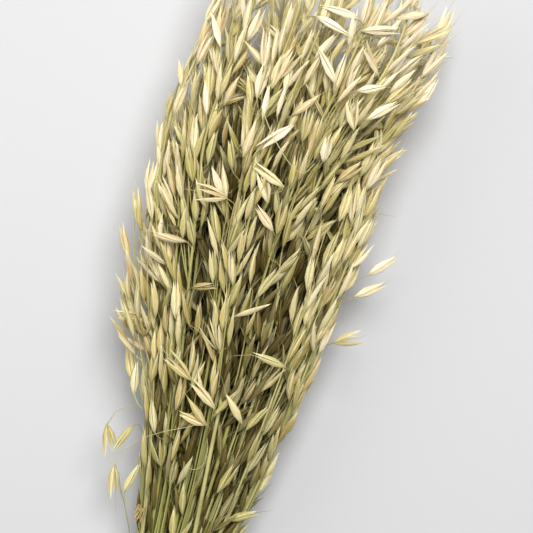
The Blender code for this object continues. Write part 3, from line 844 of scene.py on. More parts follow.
    def drawn(self, root: Vector, line: Vector, angle_round: float) -> Spikelet:
        """Draws a spikelet.

        Args:
            root: Where its branch grows.
            line: Direction of what it grows on.
            angle_round: The side that it grows to, as an angle round that line.

        Returns:
            The spikelet.
        """
        rng = self.growth.rng
        branch = self.heads.tilted(line, angle_round, math.radians(between(self.pedicel_angle, rng.random())))
        high = eased((along_of(root) - self.crossing_from) / self.crossing_run)
        line = (line + Vector((self.splayed(root), 0.0, 0.0))).normalized()
        crossing = rng.random() < between(self.crossing_share, high)
        angles = self.crossing_angle if crossing else self.body_angle
        body_round = angle_round + rng.uniform(-self.body_turn, self.body_turn)
        body = self.heads.tilted(line, body_round, math.radians(between(angles, rng.random())))
        foot = root + branch * between(self.pedicel, rng.random())
        tip = foot + body * between(self.length, rng.random())
        side = self.heads.width_direction(body, rng.uniform(0, math.pi))
        weights = self.airy_weights if self.airiness(root) > self.airy_is else self.form_weights
        form = rng.choices(tuple(Form), weights=weights)[0]
        half_width = between(self.half_width, rng.random())
        return Spikelet(root, foot, tip, side, half_width, self.form_forks[form.value], form, line)

    def inside(self, point: Vector, radius: float) -> bool:
        """Returns whether a point lies in the heads' outline or in the loose bulge on its left side."""
        if self.heads.inside_outline(point, radius):
            return True
        off = point - place(*self.bulge_middle)
        return sum((part / (half - radius)) ** 2 for part, half in zip(off, self.bulge_half)) < 1.0

    def aside(self, point: Vector) -> float:
        """Returns how far aside a place is: -1 at the left of the heads' outline, 1 at the right."""
        return self.heads.fan.off_middle(point)[0] / self.heads.outline_at(along_of(point))[0]

    def splayed(self, point: Vector) -> float:
        """Returns how much the spikelets lean aside at a place: more near the outline and higher up."""
        aside = self.aside(point)
        first = self.splay_left if aside < 0.0 else self.splay_right
        return self.splay * aside * eased((along_of(point) - first) / self.splay_run)

    def airiness(self, point: Vector) -> float:
        """Returns the share of spikelets left out at a place on the left, where the heads are loose."""
        first, last = self.airy_along
        high = eased((along_of(point) - first) / (last - first))
        return self.airy_share * high * eased((-self.aside(point) - self.airy_from) / self.airy_fade)

    def takes(self, one: Spikelet, owner: int) -> bool:
        """Returns whether a spikelet fits in the outline and among those placed."""
        spots = ((one.tip, one.fork), (one.foot, self.heads.neck), (one.waist(), one.half_width))
        inside = all(self.inside(point, radius) for point, radius in spots)
        if not inside or not in_box(one.tip, self.edge / 2) or one.waist().z < self.edge:
            return False
        return min(self.growth.space.gap(rod, owner, False) for rod in one.rods()[1:]) > -self.overlap

    def offer(self, root: Vector, line: Vector, turn: Pair, owner: int) -> None:
        """Puts a spikelet at a place, if one of a few tries fits.

        Args:
            root: Where its branch grows.
            line: Direction of what it grows on.
            turn: The side that it grows to, and how far off it may be.
            owner: Number of the stalk.
        """
        rng = self.growth.rng
        first, last = self.bare_along
        bare = self.bare_share * eased((along_of(root) - first) / (last - first))
        if rng.random() < max(bare, self.airiness(root)):
            return
        for _ in range(self.tries):
            one = self.drawn(root, line, turn[0] + rng.uniform(-turn[1], turn[1]))
            if self.takes(one, owner):
                self.growth.put(one, owner)
                return

    def fill_stalk(self, stalk: Stalk) -> None:
        """Puts more spikelets straight on a stalk."""
        axis = self.growth.axes[stalk.number]
        along = stalk.head_from - self.stalk_ends[0]
        while along < stalk.tip - self.stalk_ends[1]:
            along += self.stalk_spacing * self.growth.rng.uniform(*self.stalk_jitter)
            root = axis.at(along)
            turn = (self.heads.outward(root), math.pi * (1.0 - self.twig_turn_outward * stalk.ring))
            self.offer(root, axis.direction(along), turn, stalk.number)

    def fill_twig(self, owner: int, twig: Twig) -> None:
        """Puts spikelets on a side branch of a stalk, one of them at its end."""
        lengths = [0.0]
        for start, end in zip(twig.points, twig.points[1:]):
            lengths.append(lengths[-1] + (end - start).length)
        reach = max(lengths[-1] * self.twig_bare, self.shoot_from - along_of(twig.points[0]))
        places = []
        while reach < lengths[-1] - self.twig_last_gap:
            places.append(reach)
            reach += self.twig_spacing * self.growth.rng.uniform(*self.twig_jitter)
        for reach in [*places, lengths[-1]]:
            step = min(max(sum(length < reach for length in lengths) - 1, 0), len(lengths) - 2)
            start, end = twig.points[step], twig.points[step + 1]
            root = start.lerp(end, (reach - lengths[step]) / (lengths[step + 1] - lengths[step]))
            self.offer(root, (end - start).normalized(), (0.0, math.pi), owner)

    def grow(self) -> dict[int, list[Twig]]:
        """Grows all side branches, fills the heads, and returns the side branches of each stalk by number."""
        stalks, axes = self.growth.stalks, self.growth.axes
        twigs = {stalk.number: [] for stalk in stalks}
        for stalk in stalks:
            wanted = [False] * (self.twigs_outer if stalk.ring > self.heads.outer_ring else self.twigs_inner)
            wanted += [True] * (2 if stalk.ring > self.two_shoots_ring else 1)
            for low in wanted:
                drafts = (self.side_branch(stalk, low) for _ in range(self.twig_tries))
                twigs[stalk.number] += [made for made in drafts if made][:1]
        for places in self.bulge_twigs:
            along = places[0][1]
            first, *others = (place(*spot) for spot in places)
            near = min(stalks, key=lambda stalk: (axes[stalk.number].at(along) - first).length)
            line = smooth([axes[near.number].at(along), *others])
            twigs[near.number].append(Twig(line, tapered(self.twig_radius, len(line))))
        for stalk in stalks:
            for made in twigs[stalk.number]:
                self.fill_twig(stalk.number, made)
        for stalk in stalks:
            self.fill_stalk(stalk)
        return twigs


@dataclass
class Template:
    """A modelled form as arrays: corners, faces, what its finish reads, and its map in a cell of its own."""

    points: np.ndarray
    faces: list[tuple[int, ...]]
    grain: np.ndarray
    cell: np.ndarray

    @staticmethod
    def joined(parts: list["Template"]) -> "Template":
        """Returns several templates as one."""
        faces, count = [], 0
        for part in parts:
            faces += [tuple(corner + count for corner in face) for face in part.faces]
            count += len(part.points)
        return Template(
            np.vstack([part.points for part in parts]),
            faces,
            np.vstack([part.grain for part in parts]),
            np.vstack([part.cell for part in parts]),
        )


@dataclass
class HuskShapes:
    """The husks that spikelets are made of, each modelled once: boat-shaped glumes and slim florets."""

    length: float = 0.0238
    half_width: float = 0.0027
    half_depth: float = 0.00175
    foot_share: float = 0.16
    stations: tuple = ((0.13, 0.52, 0.58), (0.36, 1.00, 1.00), (0.62, 0.80, 0.76), (0.86, 0.30, 0.28))
    wall: float = 0.62
    decimals: int = 7
    tip_size: float = 1e-3
    tip_from: float = 0.99
    hollow_up: float = 0.2
    hollow_across: float = 0.8
    parting: float = 0.00008
    shorter: float = 0.93
    floret_golden: float = 0.55
    kinds: tuple = (
        (Form.CLOSED, ((0.8, 0.4, -0.020, ()), (1.8, 0.8, -0.010, ()))),
        (Form.PARTED, ((3.8, 2.6, -0.020, ((0.92, 0.45, 0.4),)), (5.2, 2.2, 0.005, ((0.88, 0.50, -1.0),)))),
        (Form.OPEN, ((9.5, 6.5, -0.04, ((0.88, 0.50, 2.0),)), (7.5, 11.0, 0.01, ((0.82, 0.45, -4.0),)))),
        (Form.WIDE, ((15.0, 19.0, -0.05, ((0.84, 0.50, 4.0),)), (22.0, 13.0, 0.02, ((0.74, 0.45, -3.0),)))),
    )
    right_strips: tuple = ((0.00, 0.24), (0.25, 0.40))
    left_strips: tuple = ((0.42, 0.66), (0.67, 0.82))
    floret_strips: tuple = ((0.83, 0.99), (0.83, 0.99))

    def ring_up(self, y: float, was: float, wide: float, deep: float) -> None:
        """Draws the selected ring out to the next station and scales it there.

        Args:
            y: Place of the new station.
            was: Place of the last one.
            wide: Its width as a share of the last one's.
            deep: Its depth as a share of the last one's.
        """
        bpy.ops.mesh.extrude_region_move(TRANSFORM_OT_translate={"value": (0.0, y - was, 0.0)})
        bpy.ops.transform.resize(value=(wide, 1.0, deep), center_override=(0.0, y, 0.0))

    def spindle(self, ring: list[Pair], length: float, scale: float) -> bpy.types.Object:
        """Models a husk from a ring that is drawn out through the stations to a point.

        Args:
            ring: The section's corners as shares of the half width and half depth.
            length: From foot to tip.
            scale: Width and depth as shares of a full husk's.

        Returns:
            The husk, along +Y from the origin.
        """
        deselect_all()
        bpy.ops.mesh.primitive_circle_add(vertices=len(ring), radius=1.0, fill_type="NGON")
        husk = bpy.context.object
        wide, deep = self.half_width * scale * self.foot_share, self.half_depth * scale * self.foot_share
        corners = sorted(husk.data.vertices, key=lambda corner: math.atan2(corner.co.y, corner.co.x))
        for corner, (across, up) in zip(corners, sorted(ring, key=lambda spot: math.atan2(spot[1], spot[0]))):
            corner.co = (across * wide, 0.0, up * deep)
        bpy.ops.object.mode_set(mode="EDIT")
        bpy.ops.mesh.select_all(action="SELECT")
        last = (0.0, self.foot_share, self.foot_share)
        for station in self.stations:
            self.ring_up(station[0] * length, last[0] * length, station[1] / last[1], station[2] / last[2])
            last = station
        bpy.ops.mesh.extrude_region_move(
            TRANSFORM_OT_translate={"value": (0.0, (1.0 - last[0]) * length, 0.0)}
        )
        bpy.ops.mesh.merge(type="CENTER")
        bpy.ops.mesh.select_all(action="SELECT")
        bpy.ops.mesh.normals_make_consistent(inside=False)
        bpy.ops.object.mode_set(mode="OBJECT")
        return husk

    def read(
        self, husk: bpy.types.Object, length: float, scale: float, strips: tuple, inside: float
    ) -> Template:
        """Reads a husk into a template and removes its object.

        Args:
            husk: The husk, along +Y from the origin.
            length: From foot to tip.
            scale: Width and depth as shares of a full husk's.
            strips: Where its outer and its inner faces lie across its cell, as start and end.
            inside: How far its outer faces look like the inside of a husk, from 0 to 1.

        Returns:
            The template.
        """
        mesh = husk.data
        points = np.array([corner.co[:] for corner in mesh.vertices])
        # The modelling leaves corners and faces in an order that can differ from run to run.
        order = np.lexsort(np.round(points, self.decimals).T)
        ranks = np.argsort(order).tolist()
        points = points[order]
        faces = sorted(tuple(ranks[corner] for corner in face.vertices) for face in mesh.polygons)
        first, last = (0.0, self.foot_share, self.foot_share), (1.0, self.tip_size, self.tip_size)
        rows = np.array([first, *self.stations, last])
        along = points[:, 1] / length
        wide = np.interp(along, rows[:, 0], rows[:, 1]) * self.half_width * scale
        deep = np.interp(along, rows[:, 0], rows[:, 2]) * self.half_depth * scale
        across, up = points[:, 0] / wide, points[:, 2] / deep
        turn = np.degrees(np.arctan2(up, across)) / (180.0 if inside else 90.0)
        hollow = (across > 0.0) & (across < self.hollow_across) & (along < self.tip_from)
        hollow &= np.abs(up) < self.hollow_up
        turn[hollow | (along > self.tip_from)] = 0.0
        grain = np.stack([turn, along, np.maximum(hollow, inside)], axis=1)
        cell = []
        for corners in faces:
            spread = turn[list(corners)]
            if spread.max() - spread.min() > 1.0 and inside:
                spread = np.where(spread > 0.9, -1.0, spread)
            strip = strips[1] if hollow[list(corners)].any() else strips[0]
            for corner, turned in zip(corners, spread):
                cell.append((strip[0] + (strip[1] - strip[0]) * (turned + 1.0) / 2.0, along[corner]))
        bpy.data.objects.remove(husk)
        bpy.data.meshes.remove(mesh)
        return Template(points, faces, grain, np.array(cell))

    def glume(self, length: float, opening: float, curl: float, turned: bool, strips: tuple) -> Template:
        """Models a boat-shaped glume that leans outwards.

        Args:
            length: From foot to tip.
            opening: How far it leans out, in degrees.
            curl: How far its tip bends out, as a share of its length.
            turned: Whether it is the one on the other side.
            strips: Where it lies across its cell.

        Returns:
            The template.
        """
        half = math.sqrt(0.5)
        ring = [(0.0, -1.0), (half, -half), (1.0, 0.0), (half, half), (0.0, 1.0), (self.wall, 0.0)]
        made = self.read(self.spindle(ring, length, 1.0), length, 1.0, strips, 0.0)
        share = made.points[:, 1] / length
        made.points[:, 0] += curl * length * share**2 + self.parting
        lean = math.radians(opening)
        x, y = made.points[:, 0].copy(), made.points[:, 1].copy()
        made.points[:, 0] = x * math.cos(lean) + y * math.sin(lean)
        made.points[:, 1] = y * math.cos(lean) - x * math.sin(lean)
        if turned:
            made.points[:, [0, 2]] *= -1.0
        return made

    def floret(self, length: float, scale: float, lean: float) -> Template:
        """Models a slim floret between the glumes.

        Args:
            length: From foot to tip.
            scale: Width and depth as shares of a full husk's.
            lean: How far it leans to one side, in degrees.

        Returns:
            The template.
        """
        ring = [(1.0, 0.0), (0.0, 1.0), (-1.0, 0.0), (0.0, -1.0)]
        husk = self.spindle(ring, length, scale)
        made = self.read(husk, length, scale, self.floret_strips, self.floret_golden)
        made.points[:, 0] += made.points[:, 1] * math.tan(math.radians(lean))
        return made

    def spikelets(self) -> dict[Form, list[Template]]:
        """Returns the modelled spikelets of each form: a few that differ in how they open and bend."""
        made = {}
        for form, kinds in self.kinds:
            made[form] = []
            for right, left, curl, florets in kinds:
                parts = [
                    self.glume(self.length, right, curl, False, self.right_strips),
                    self.glume(self.length * self.shorter, left, curl, True, self.left_strips),
                ]
                parts += [self.floret(self.length * length, scale, lean) for length, scale, lean in florets]
                made[form].append(Template.joined(parts))
        return made


@dataclass
class Tube:
    """A stem along a path: round or, as a leaf or a fibre is, flat."""

    points: list[Vector]
    radii: list[float]
    sides: int
    strips: int = 1
    marks: list[float] | None = None
    scale: float = 10.0
    flat: float = 1.0
    turns: float = 0.0
    bore: float = 0.0
    bore_depth: float = 0.006
    bore_marks: Pair = (1.0, 0.6)
    strip_margin: float = 0.06
    steep: float = 0.9

    def template(self) -> Template:
        """Returns the tube, closed at both ends, with its length mapped to strips one above the other."""
        points, radii = list(self.points), list(self.radii)
        marks = list(self.marks or [0.0] * len(points))
        last = len(points) - 1
        spans = [(points[max(step - 1, 0)], points[min(step + 1, last)]) for step in range(last + 1)]
        lines = [(end - start).normalized() for start, end in spans]
        if self.bore:
            points = [points[0] + lines[0] * self.bore_depth, points[0], *points]
            radii = [radii[0] * self.bore, radii[0] * self.bore, *radii]
            lines, marks = [lines[0], lines[0], *lines], [*self.bore_marks, *marks]
        count = len(points)
        normal = lines[0].cross(UP if abs(lines[0].z) < self.steep else Vector((1.0, 0.0, 0.0)))
        rings, grain, reached = [], [], 0.0
        for step, (point, line) in enumerate(zip(points, lines)):
            normal = (normal - line * normal.dot(line)).normalized()
            other = line.cross(normal)
            if step:
                reached += (point - points[step - 1]).length
            turn = 2 * math.pi * self.turns * step / count
            wide = normal * math.cos(turn) + other * math.sin(turn)
            thick = line.cross(wide) * self.flat
            for side in range(self.sides):
                angle = 2 * math.pi * side / self.sides
                rings.append(point + (wide * math.cos(angle) + thick * math.sin(angle)) * radii[step])
                turned = abs(2.0 * side / self.sides - 1.0) * 2.0 - 1.0
                grain.append((turned, reached * self.scale, marks[step]))
        faces, cell = [], []
        per_strip = math.ceil((count - 1) / self.strips)
        strip_share = 1.0 - 2 * self.strip_margin
        for step in range(count - 1):
            strip, place_in = divmod(step, per_strip)
            for side in range(self.sides):
                beside = (side + 1) % self.sides
                low, high = step * self.sides, (step + 1) * self.sides
                faces.append((low + side, low + beside, high + beside, high + side))
                for ahead, turned in ((0, side), (0, side + 1), (1, side + 1), (1, side)):
                    across = (strip + self.strip_margin + strip_share * turned / self.sides) / self.strips
                    cell.append(((place_in + ahead) / per_strip, across))
        faces.append(tuple(reversed(range(self.sides))))
        faces.append(tuple(range((count - 1) * self.sides, count * self.sides)))
        cell += [(0.0, 0.5 / self.strips)] * (2 * self.sides)
        return Template(np.array([tuple(corner) for corner in rings]), faces, np.array(grain), np.array(cell))


class PieceMesh:
    """Gathers the corners, faces, finishes and maps of one piece."""

    sharp_from = 66.0

    def __init__(self) -> None:
        """Starts empty."""
        self.count = 0
        self.points: list[np.ndarray] = []
        self.grain: list[np.ndarray] = []
        self.tone: list[np.ndarray] = []
        self.cells: list[np.ndarray] = []
        self.faces: list[tuple[int, ...]] = []
        self.finishes: list[int] = []

    def add(self, form: Template, points: np.ndarray, tone: tuple, finish: int, rectangle: tuple) -> None:
        """Adds a copy of a template.

        Args:
            form: The template.
            points: Its corners where the copy has them.
            tone: Age, warmth and paleness of the copy, each from 0 to 1.
            finish: Which of the piece's finishes it has.
            rectangle: Its part of the piece's map: left, bottom, width and height.
        """
        self.points.append(points)
        self.grain.append(form.grain)
        self.tone.append(np.tile(tone, (len(points), 1)))
        self.cells.append(form.cell * (rectangle[2], rectangle[3]) + (rectangle[0], rectangle[1]))
        self.faces += [tuple(corner + self.count for corner in face) for face in form.faces]
        self.finishes += [finish] * len(form.faces)
        self.count += len(points)

    def add_tube(self, tube: Tube, tone: tuple, finish: int, rectangle: tuple, upright: bool = False) -> None:
        """Adds a tube, whose length runs across its part of the piece's map or, if asked, up it."""
        made = tube.template()
        if upright:
            made.cell = made.cell[:, ::-1]
        self.add(made, made.points, tone, finish, rectangle)

    def piece(self, name: str, finishes: list[bpy.types.Material]) -> bpy.types.Object:
        """Returns the piece as an object at the origin, with its finishes."""
        mesh = bpy.data.meshes.new(name)
        points = np.clip(np.vstack(self.points), np.array(CAD_BOX[0]), np.array(CAD_BOX[1]))
        mesh.from_pydata(points.tolist(), [], self.faces)
        for title, rows in (("grain", self.grain), ("tone", self.tone)):
            layer = mesh.attributes.new(title, "FLOAT_VECTOR", "POINT")
            layer.data.foreach_set("vector", np.vstack(rows).astype(np.float32).ravel())
        layer = mesh.uv_layers.new(name="OFBake")
        layer.data.foreach_set("uv", np.vstack(self.cells).astype(np.float32).ravel())
        for finish in finishes:
            mesh.materials.append(finish)
        mesh.polygons.foreach_set("material_index", np.array(self.finishes, np.int32))
        mesh.shade_smooth()
        mesh.set_sharp_from_angle(angle=math.radians(self.sharp_from))
        mesh.update()
        made = bpy.data.objects.new(name, mesh)
        bpy.context.scene.collection.objects.link(made)
        return made


@dataclass
class OatStalk:
    """The finished piece of one stalk: jointed straw, side branches, leaf, and spikelets on fine stems."""

    heads: Heads
    shapes: HuskShapes
    forms: dict[Form, list[Template]]
    finishes: list[bpy.types.Material]
    rng: random.Random
    step: float = 0.013
    least_step: float = 0.0006
    sides: int = 8
    bore: float = 0.62
    straw_share: float = 0.94
    straw_strips: int = 3
    joint_swelling: float = 0.22
    joint_half: float = 0.0035
    joint_steps: tuple = (-1.0, -0.4, 0.0, 0.4, 1.0)
    low_joint: Pair = (0.02, 0.11)
    high_joint: Pair = (0.19, 0.28)
    sheath: float = 0.055
    sheath_edge: float = 0.001
    sheath_extra: float = 0.12
    leaf_share: float = 0.55
    leaf_length: Pair = (0.045, 0.095)
    leaf_half_width: Pair = (0.0010, 0.0021)
    leaf_points: int = 12
    leaf_sides: int = 6
    leaf_turn: float = 1.0
    leaf_swing: float = 1.2
    leaf_offset: Pair = (0.006, 0.020)
    leaf_arch: float = 0.62
    leaf_profile: tuple = (0.45, 0.9, 1.0, 0.95, 0.75, 0.4, 0.05)
    leaf_flat: float = 0.12
    leaf_twist: float = 0.9
    leaf_edge: float = 0.003
    twig_sides: int = 5
    hair_sides: int = 3
    pedicel_shares: tuple = (0.0, 0.34, 0.68, 1.0)
    pedicel_radii: tuple = (0.00034, 0.00024, 0.00026, 0.00045)
    pedicel_pull: float = 0.35
    pedicel_sunk: float = 0.0006
    awn_share: float = 0.75
    awn_from: Pair = (0.45, 0.75)
    awn_radii: tuple = (0.00022, 0.00018, 0.00008)
    awn_length: Pair = (0.50, 1.05)
    awn_least: float = 0.002
    awn_shorter: float = 0.8
    awn_lean: float = 0.30
    awn_bend: float = 0.3
    awn_tone: Pair = (0.5, 1.0)
    depths: Pair = (0.85, 1.15)
    twist: float = 0.5
    bow: float = 0.16
    sway: float = 0.10
    age_from: float = 0.20
    age_run: float = 0.38
    age_spread: float = 0.20
    # How far deep inner spikelets are darkened: partly a greener tone, partly painted shade.
    green_and_shade: Pair = (0.82, 0.36)
    green_and_shade_from: float = 0.70
    green_and_shade_depth: float = 0.62
    bleached: Pair = (0.47, 1.14)
    strip_height: float = 0.014
    cell_shape: float = 1.5
    cell_rows: Pair = (0.03, 0.94)
    husk_columns: Pair = (0.02, 0.90)
    pedicel_columns: Pair = (0.94, 0.03)
    awn_columns: Pair = (0.975, 0.02)

    def straw(self, stalk: Stalk, axis: SmoothAxis, joints: list[float]) -> Tube:
        """Returns a stalk's straw, hollow at its cut end, with joints that a leaf's sheath rises from."""
        first, last = along_of(stalk.points[0]), along_of(stalk.points[-1])
        places = set(np.linspace(first, last, int((last - first) / self.step)).tolist())
        for joint in joints:
            places |= {joint + part * self.joint_half for part in self.joint_steps}
            places |= {joint + self.sheath, joint + self.sheath + self.sheath_edge}
        rows = sorted(spot for spot in places if first <= spot <= last)
        pairs = zip(rows, [-1.0, *rows])
        rows = [spot for spot, before in pairs if spot - before > self.least_step]
        radii, marks = [], []
        for spot in rows:
            radius, mark = axis.radius(spot), 0.0
            for joint in joints:
                near = max(0.0, 1.0 - abs(spot - joint) / self.joint_half)
                radius *= 1.0 + self.joint_swelling * near
                mark = max(mark, near)
                if 0.0 < spot - joint <= self.sheath:
                    radius *= 1.0 + self.sheath_extra
            radii.append(radius * self.straw_share)
            marks.append(mark)
        points = [axis.at(spot) for spot in rows]
        return Tube(points, radii, self.sides, self.straw_strips, marks, bore=self.bore)

    def leaf(self, axis: SmoothAxis, start: float) -> Tube | None:
        """Returns a dry, twisted leaf that starts at a distance along, or nothing past the outline."""
        rng = self.rng
        length = between(self.leaf_length, rng.random())
        angle = self.heads.outward(axis.at(start)) + rng.uniform(-self.leaf_turn, self.leaf_turn)
        offset = between(self.leaf_offset, rng.random())
        swing = rng.uniform(-self.leaf_swing, self.leaf_swing)
        points, radii = [], []
        for step in range(self.leaf_points):
            share = step / (self.leaf_points - 1)
            along = start + length * share
            away = self.heads.tilted(axis.direction(along), angle + swing * share, math.pi / 2)
            points.append(axis.at(along) + away * offset * math.sin(share * math.pi * self.leaf_arch))
            spot = share * (len(self.leaf_profile) - 1)
            radii.append(float(np.interp(spot, range(len(self.leaf_profile)), self.leaf_profile)))
        if not all(self.heads.inside_outline(point, self.leaf_edge) for point in points):
            return None
        width = between(self.leaf_half_width, rng.random())
        radii = [radius * width for radius in radii]
        turns = rng.uniform(-self.leaf_twist, self.leaf_twist)
        return Tube(points, radii, self.leaf_sides, flat=self.leaf_flat, turns=turns)

    def pedicel(self, one: Spikelet, axis: SmoothAxis) -> Tube:
        """Returns a spikelet's own fine stem."""
        along = along_of(one.root)
        root = one.root if one.grown else axis.at(along)
        line = one.grown or axis.direction(along)
        body = (one.tip - one.foot).normalized()
        reach = (one.foot - root).length
        first, second = root + line * reach * self.pedicel_pull, one.foot - body * reach * self.pedicel_pull
        points = []
        for share in self.pedicel_shares:
            rest = 1.0 - share
            point = root * rest**3 + first * 3 * rest**2 * share
            points.append(point + second * 3 * rest * share**2 + one.foot * share**3)
        points[-1] = one.foot + body * self.pedicel_sunk
        return Tube(points, list(self.pedicel_radii), self.hair_sides)

    def awn(self, one: Spikelet) -> Tube:
        """Returns the hair that stands out of a spikelet, no further than the CAD box."""
        rng = self.rng
        body = (one.tip - one.foot).normalized()
        aside = (one.side * rng.uniform(-1, 1) + body.cross(one.side) * rng.uniform(-1, 1)) * self.awn_lean
        start = one.foot.lerp(one.tip, rng.uniform(*self.awn_from))
        reach = (one.tip - one.foot).length * between(self.awn_length, rng.random())
        while reach > self.awn_least and not in_box(start + (body + aside) * reach, self.awn_radii[0]):
            reach *= self.awn_shorter
        middle = start + (body + aside * self.awn_bend) * reach * 0.5
        return Tube([start, middle, start + (body + aside) * reach], list(self.awn_radii), self.hair_sides)

    def copied(self, form: Template, one: Spikelet) -> np.ndarray:
        """Returns a template's corners where a spikelet has them, a little bowed and twisted."""
        rng = self.rng
        line = one.tip - one.foot
        length = line.length
        line = line / length
        side = (one.side - line * one.side.dot(line)).normalized()
        deep = side.cross(line)
        wide, long = one.half_width / self.shapes.half_width, length / self.shapes.length
        points = form.points * (wide, long, rng.uniform(*self.depths))
        share = points[:, 1] / length
        turn = rng.uniform(-self.twist, self.twist) * share
        x = points[:, 0] * np.cos(turn) - points[:, 2] * np.sin(turn)
        z = points[:, 0] * np.sin(turn) + points[:, 2] * np.cos(turn)
        z += rng.uniform(-self.bow, self.bow) * length * (share**2 - share)
        x += rng.uniform(-self.sway, self.sway) * length * (share**2 - share)
        directions = np.array([tuple(side), tuple(line), tuple(deep)])
        return np.stack([x, points[:, 1], z], axis=1) @ directions + np.array(one.foot)

    def age(self, one: Spikelet) -> float:
        """Returns how bleached a spikelet is: 0 is green, low and deep inside, 1 is cream, at the top. Deep
        inside it is lower partly for a greener tone and partly as painted shade.
        """
        inner = 1.0 - min(self.heads.squared_share(one.waist(), 0.0), 1.0)
        share = (along_of(one.foot) - self.age_from) / self.age_run
        high = eased((share - self.green_and_shade_from) / (1.0 - self.green_and_shade_from))
        # Deep inside the heads spikelets are made darker: partly a greener tone, partly painted shade where
        # light does not reach.
        green_and_shade = between(self.green_and_shade, high) * eased(inner / self.green_and_shade_depth)
        spread = self.rng.uniform(-self.age_spread, self.age_spread)
        return min(max(between(self.bleached, share) + spread - green_and_shade, 0.0), 1.0)

    def build(
        self, stalk: Stalk, axis: SmoothAxis, twigs: list[Twig], head: list[Spikelet]
    ) -> bpy.types.Object:
        """Builds the piece of one stalk.

        Args:
            stalk: The stalk.
            axis: Its smooth axis.
            twigs: Its side branches.
            head: Its spikelets.

        Returns:
            The piece.
        """
        rng, mesh = self.rng, PieceMesh()
        joints = [between(self.low_joint, rng.random()), between(self.high_joint, rng.random())]
        stems = [Tube(twig.points, twig.radii, self.twig_sides) for twig in twigs]
        if rng.random() < self.leaf_share:
            leaf = self.leaf(axis, joints[1] + self.sheath)
            stems += [leaf] if leaf else []
        straw_height = self.straw_strips * self.strip_height
        low = (self.straw_strips + len(stems)) * self.strip_height
        # The straw's first tone value is its ring: inner stalks get painted shade from it in the stems'
        # finish.
        tone = (stalk.ring, rng.random(), rng.random())
        mesh.add_tube(self.straw(stalk, axis, joints), tone, STEM, (0.0, 0.0, 1.0, straw_height))
        for number, stem in enumerate(stems, self.straw_strips):
            mesh.add_tube(stem, tone, STEM, (0.0, number * self.strip_height, 1.0, self.strip_height))
        columns = max(1, round(math.sqrt(len(head) / (1.0 - low) / self.cell_shape)))
        wide, high = 1.0 / columns, (1.0 - low) / math.ceil(len(head) / columns)
        for number, one in enumerate(head):
            row, column = divmod(number, columns)
            form = rng.choice(self.forms[one.form])
            # The spikelet's age, low deep inside, also gives its pedicel and awn painted shade.
            tone = (self.age(one), rng.random(), rng.random())
            left, bottom = column * wide, low + row * high + high * self.cell_rows[0]
            cells = [(left + wide * first, bottom, wide * run, high * self.cell_rows[1]) for first, run in
                     (self.husk_columns, self.pedicel_columns, self.awn_columns)]
            mesh.add(form, self.copied(form, one), tone, HUSK, cells[0])
            mesh.add_tube(self.pedicel(one, axis), tone, STEM, cells[1], True)
            if rng.random() < self.awn_share:
                mesh.add_tube(self.awn(one), (tone[0], *self.awn_tone), STEM, cells[2], True)
        return mesh.piece(f"oat_stalk_{stalk.number:02d}", self.finishes)


@dataclass(frozen=True)
class LooseStem:
    """A stem, thread or scrap: its places as across, along and height, its end radii, and its look."""

    places: tuple
    radii: Pair
    pale: float = 0.6
    golden: bool = False


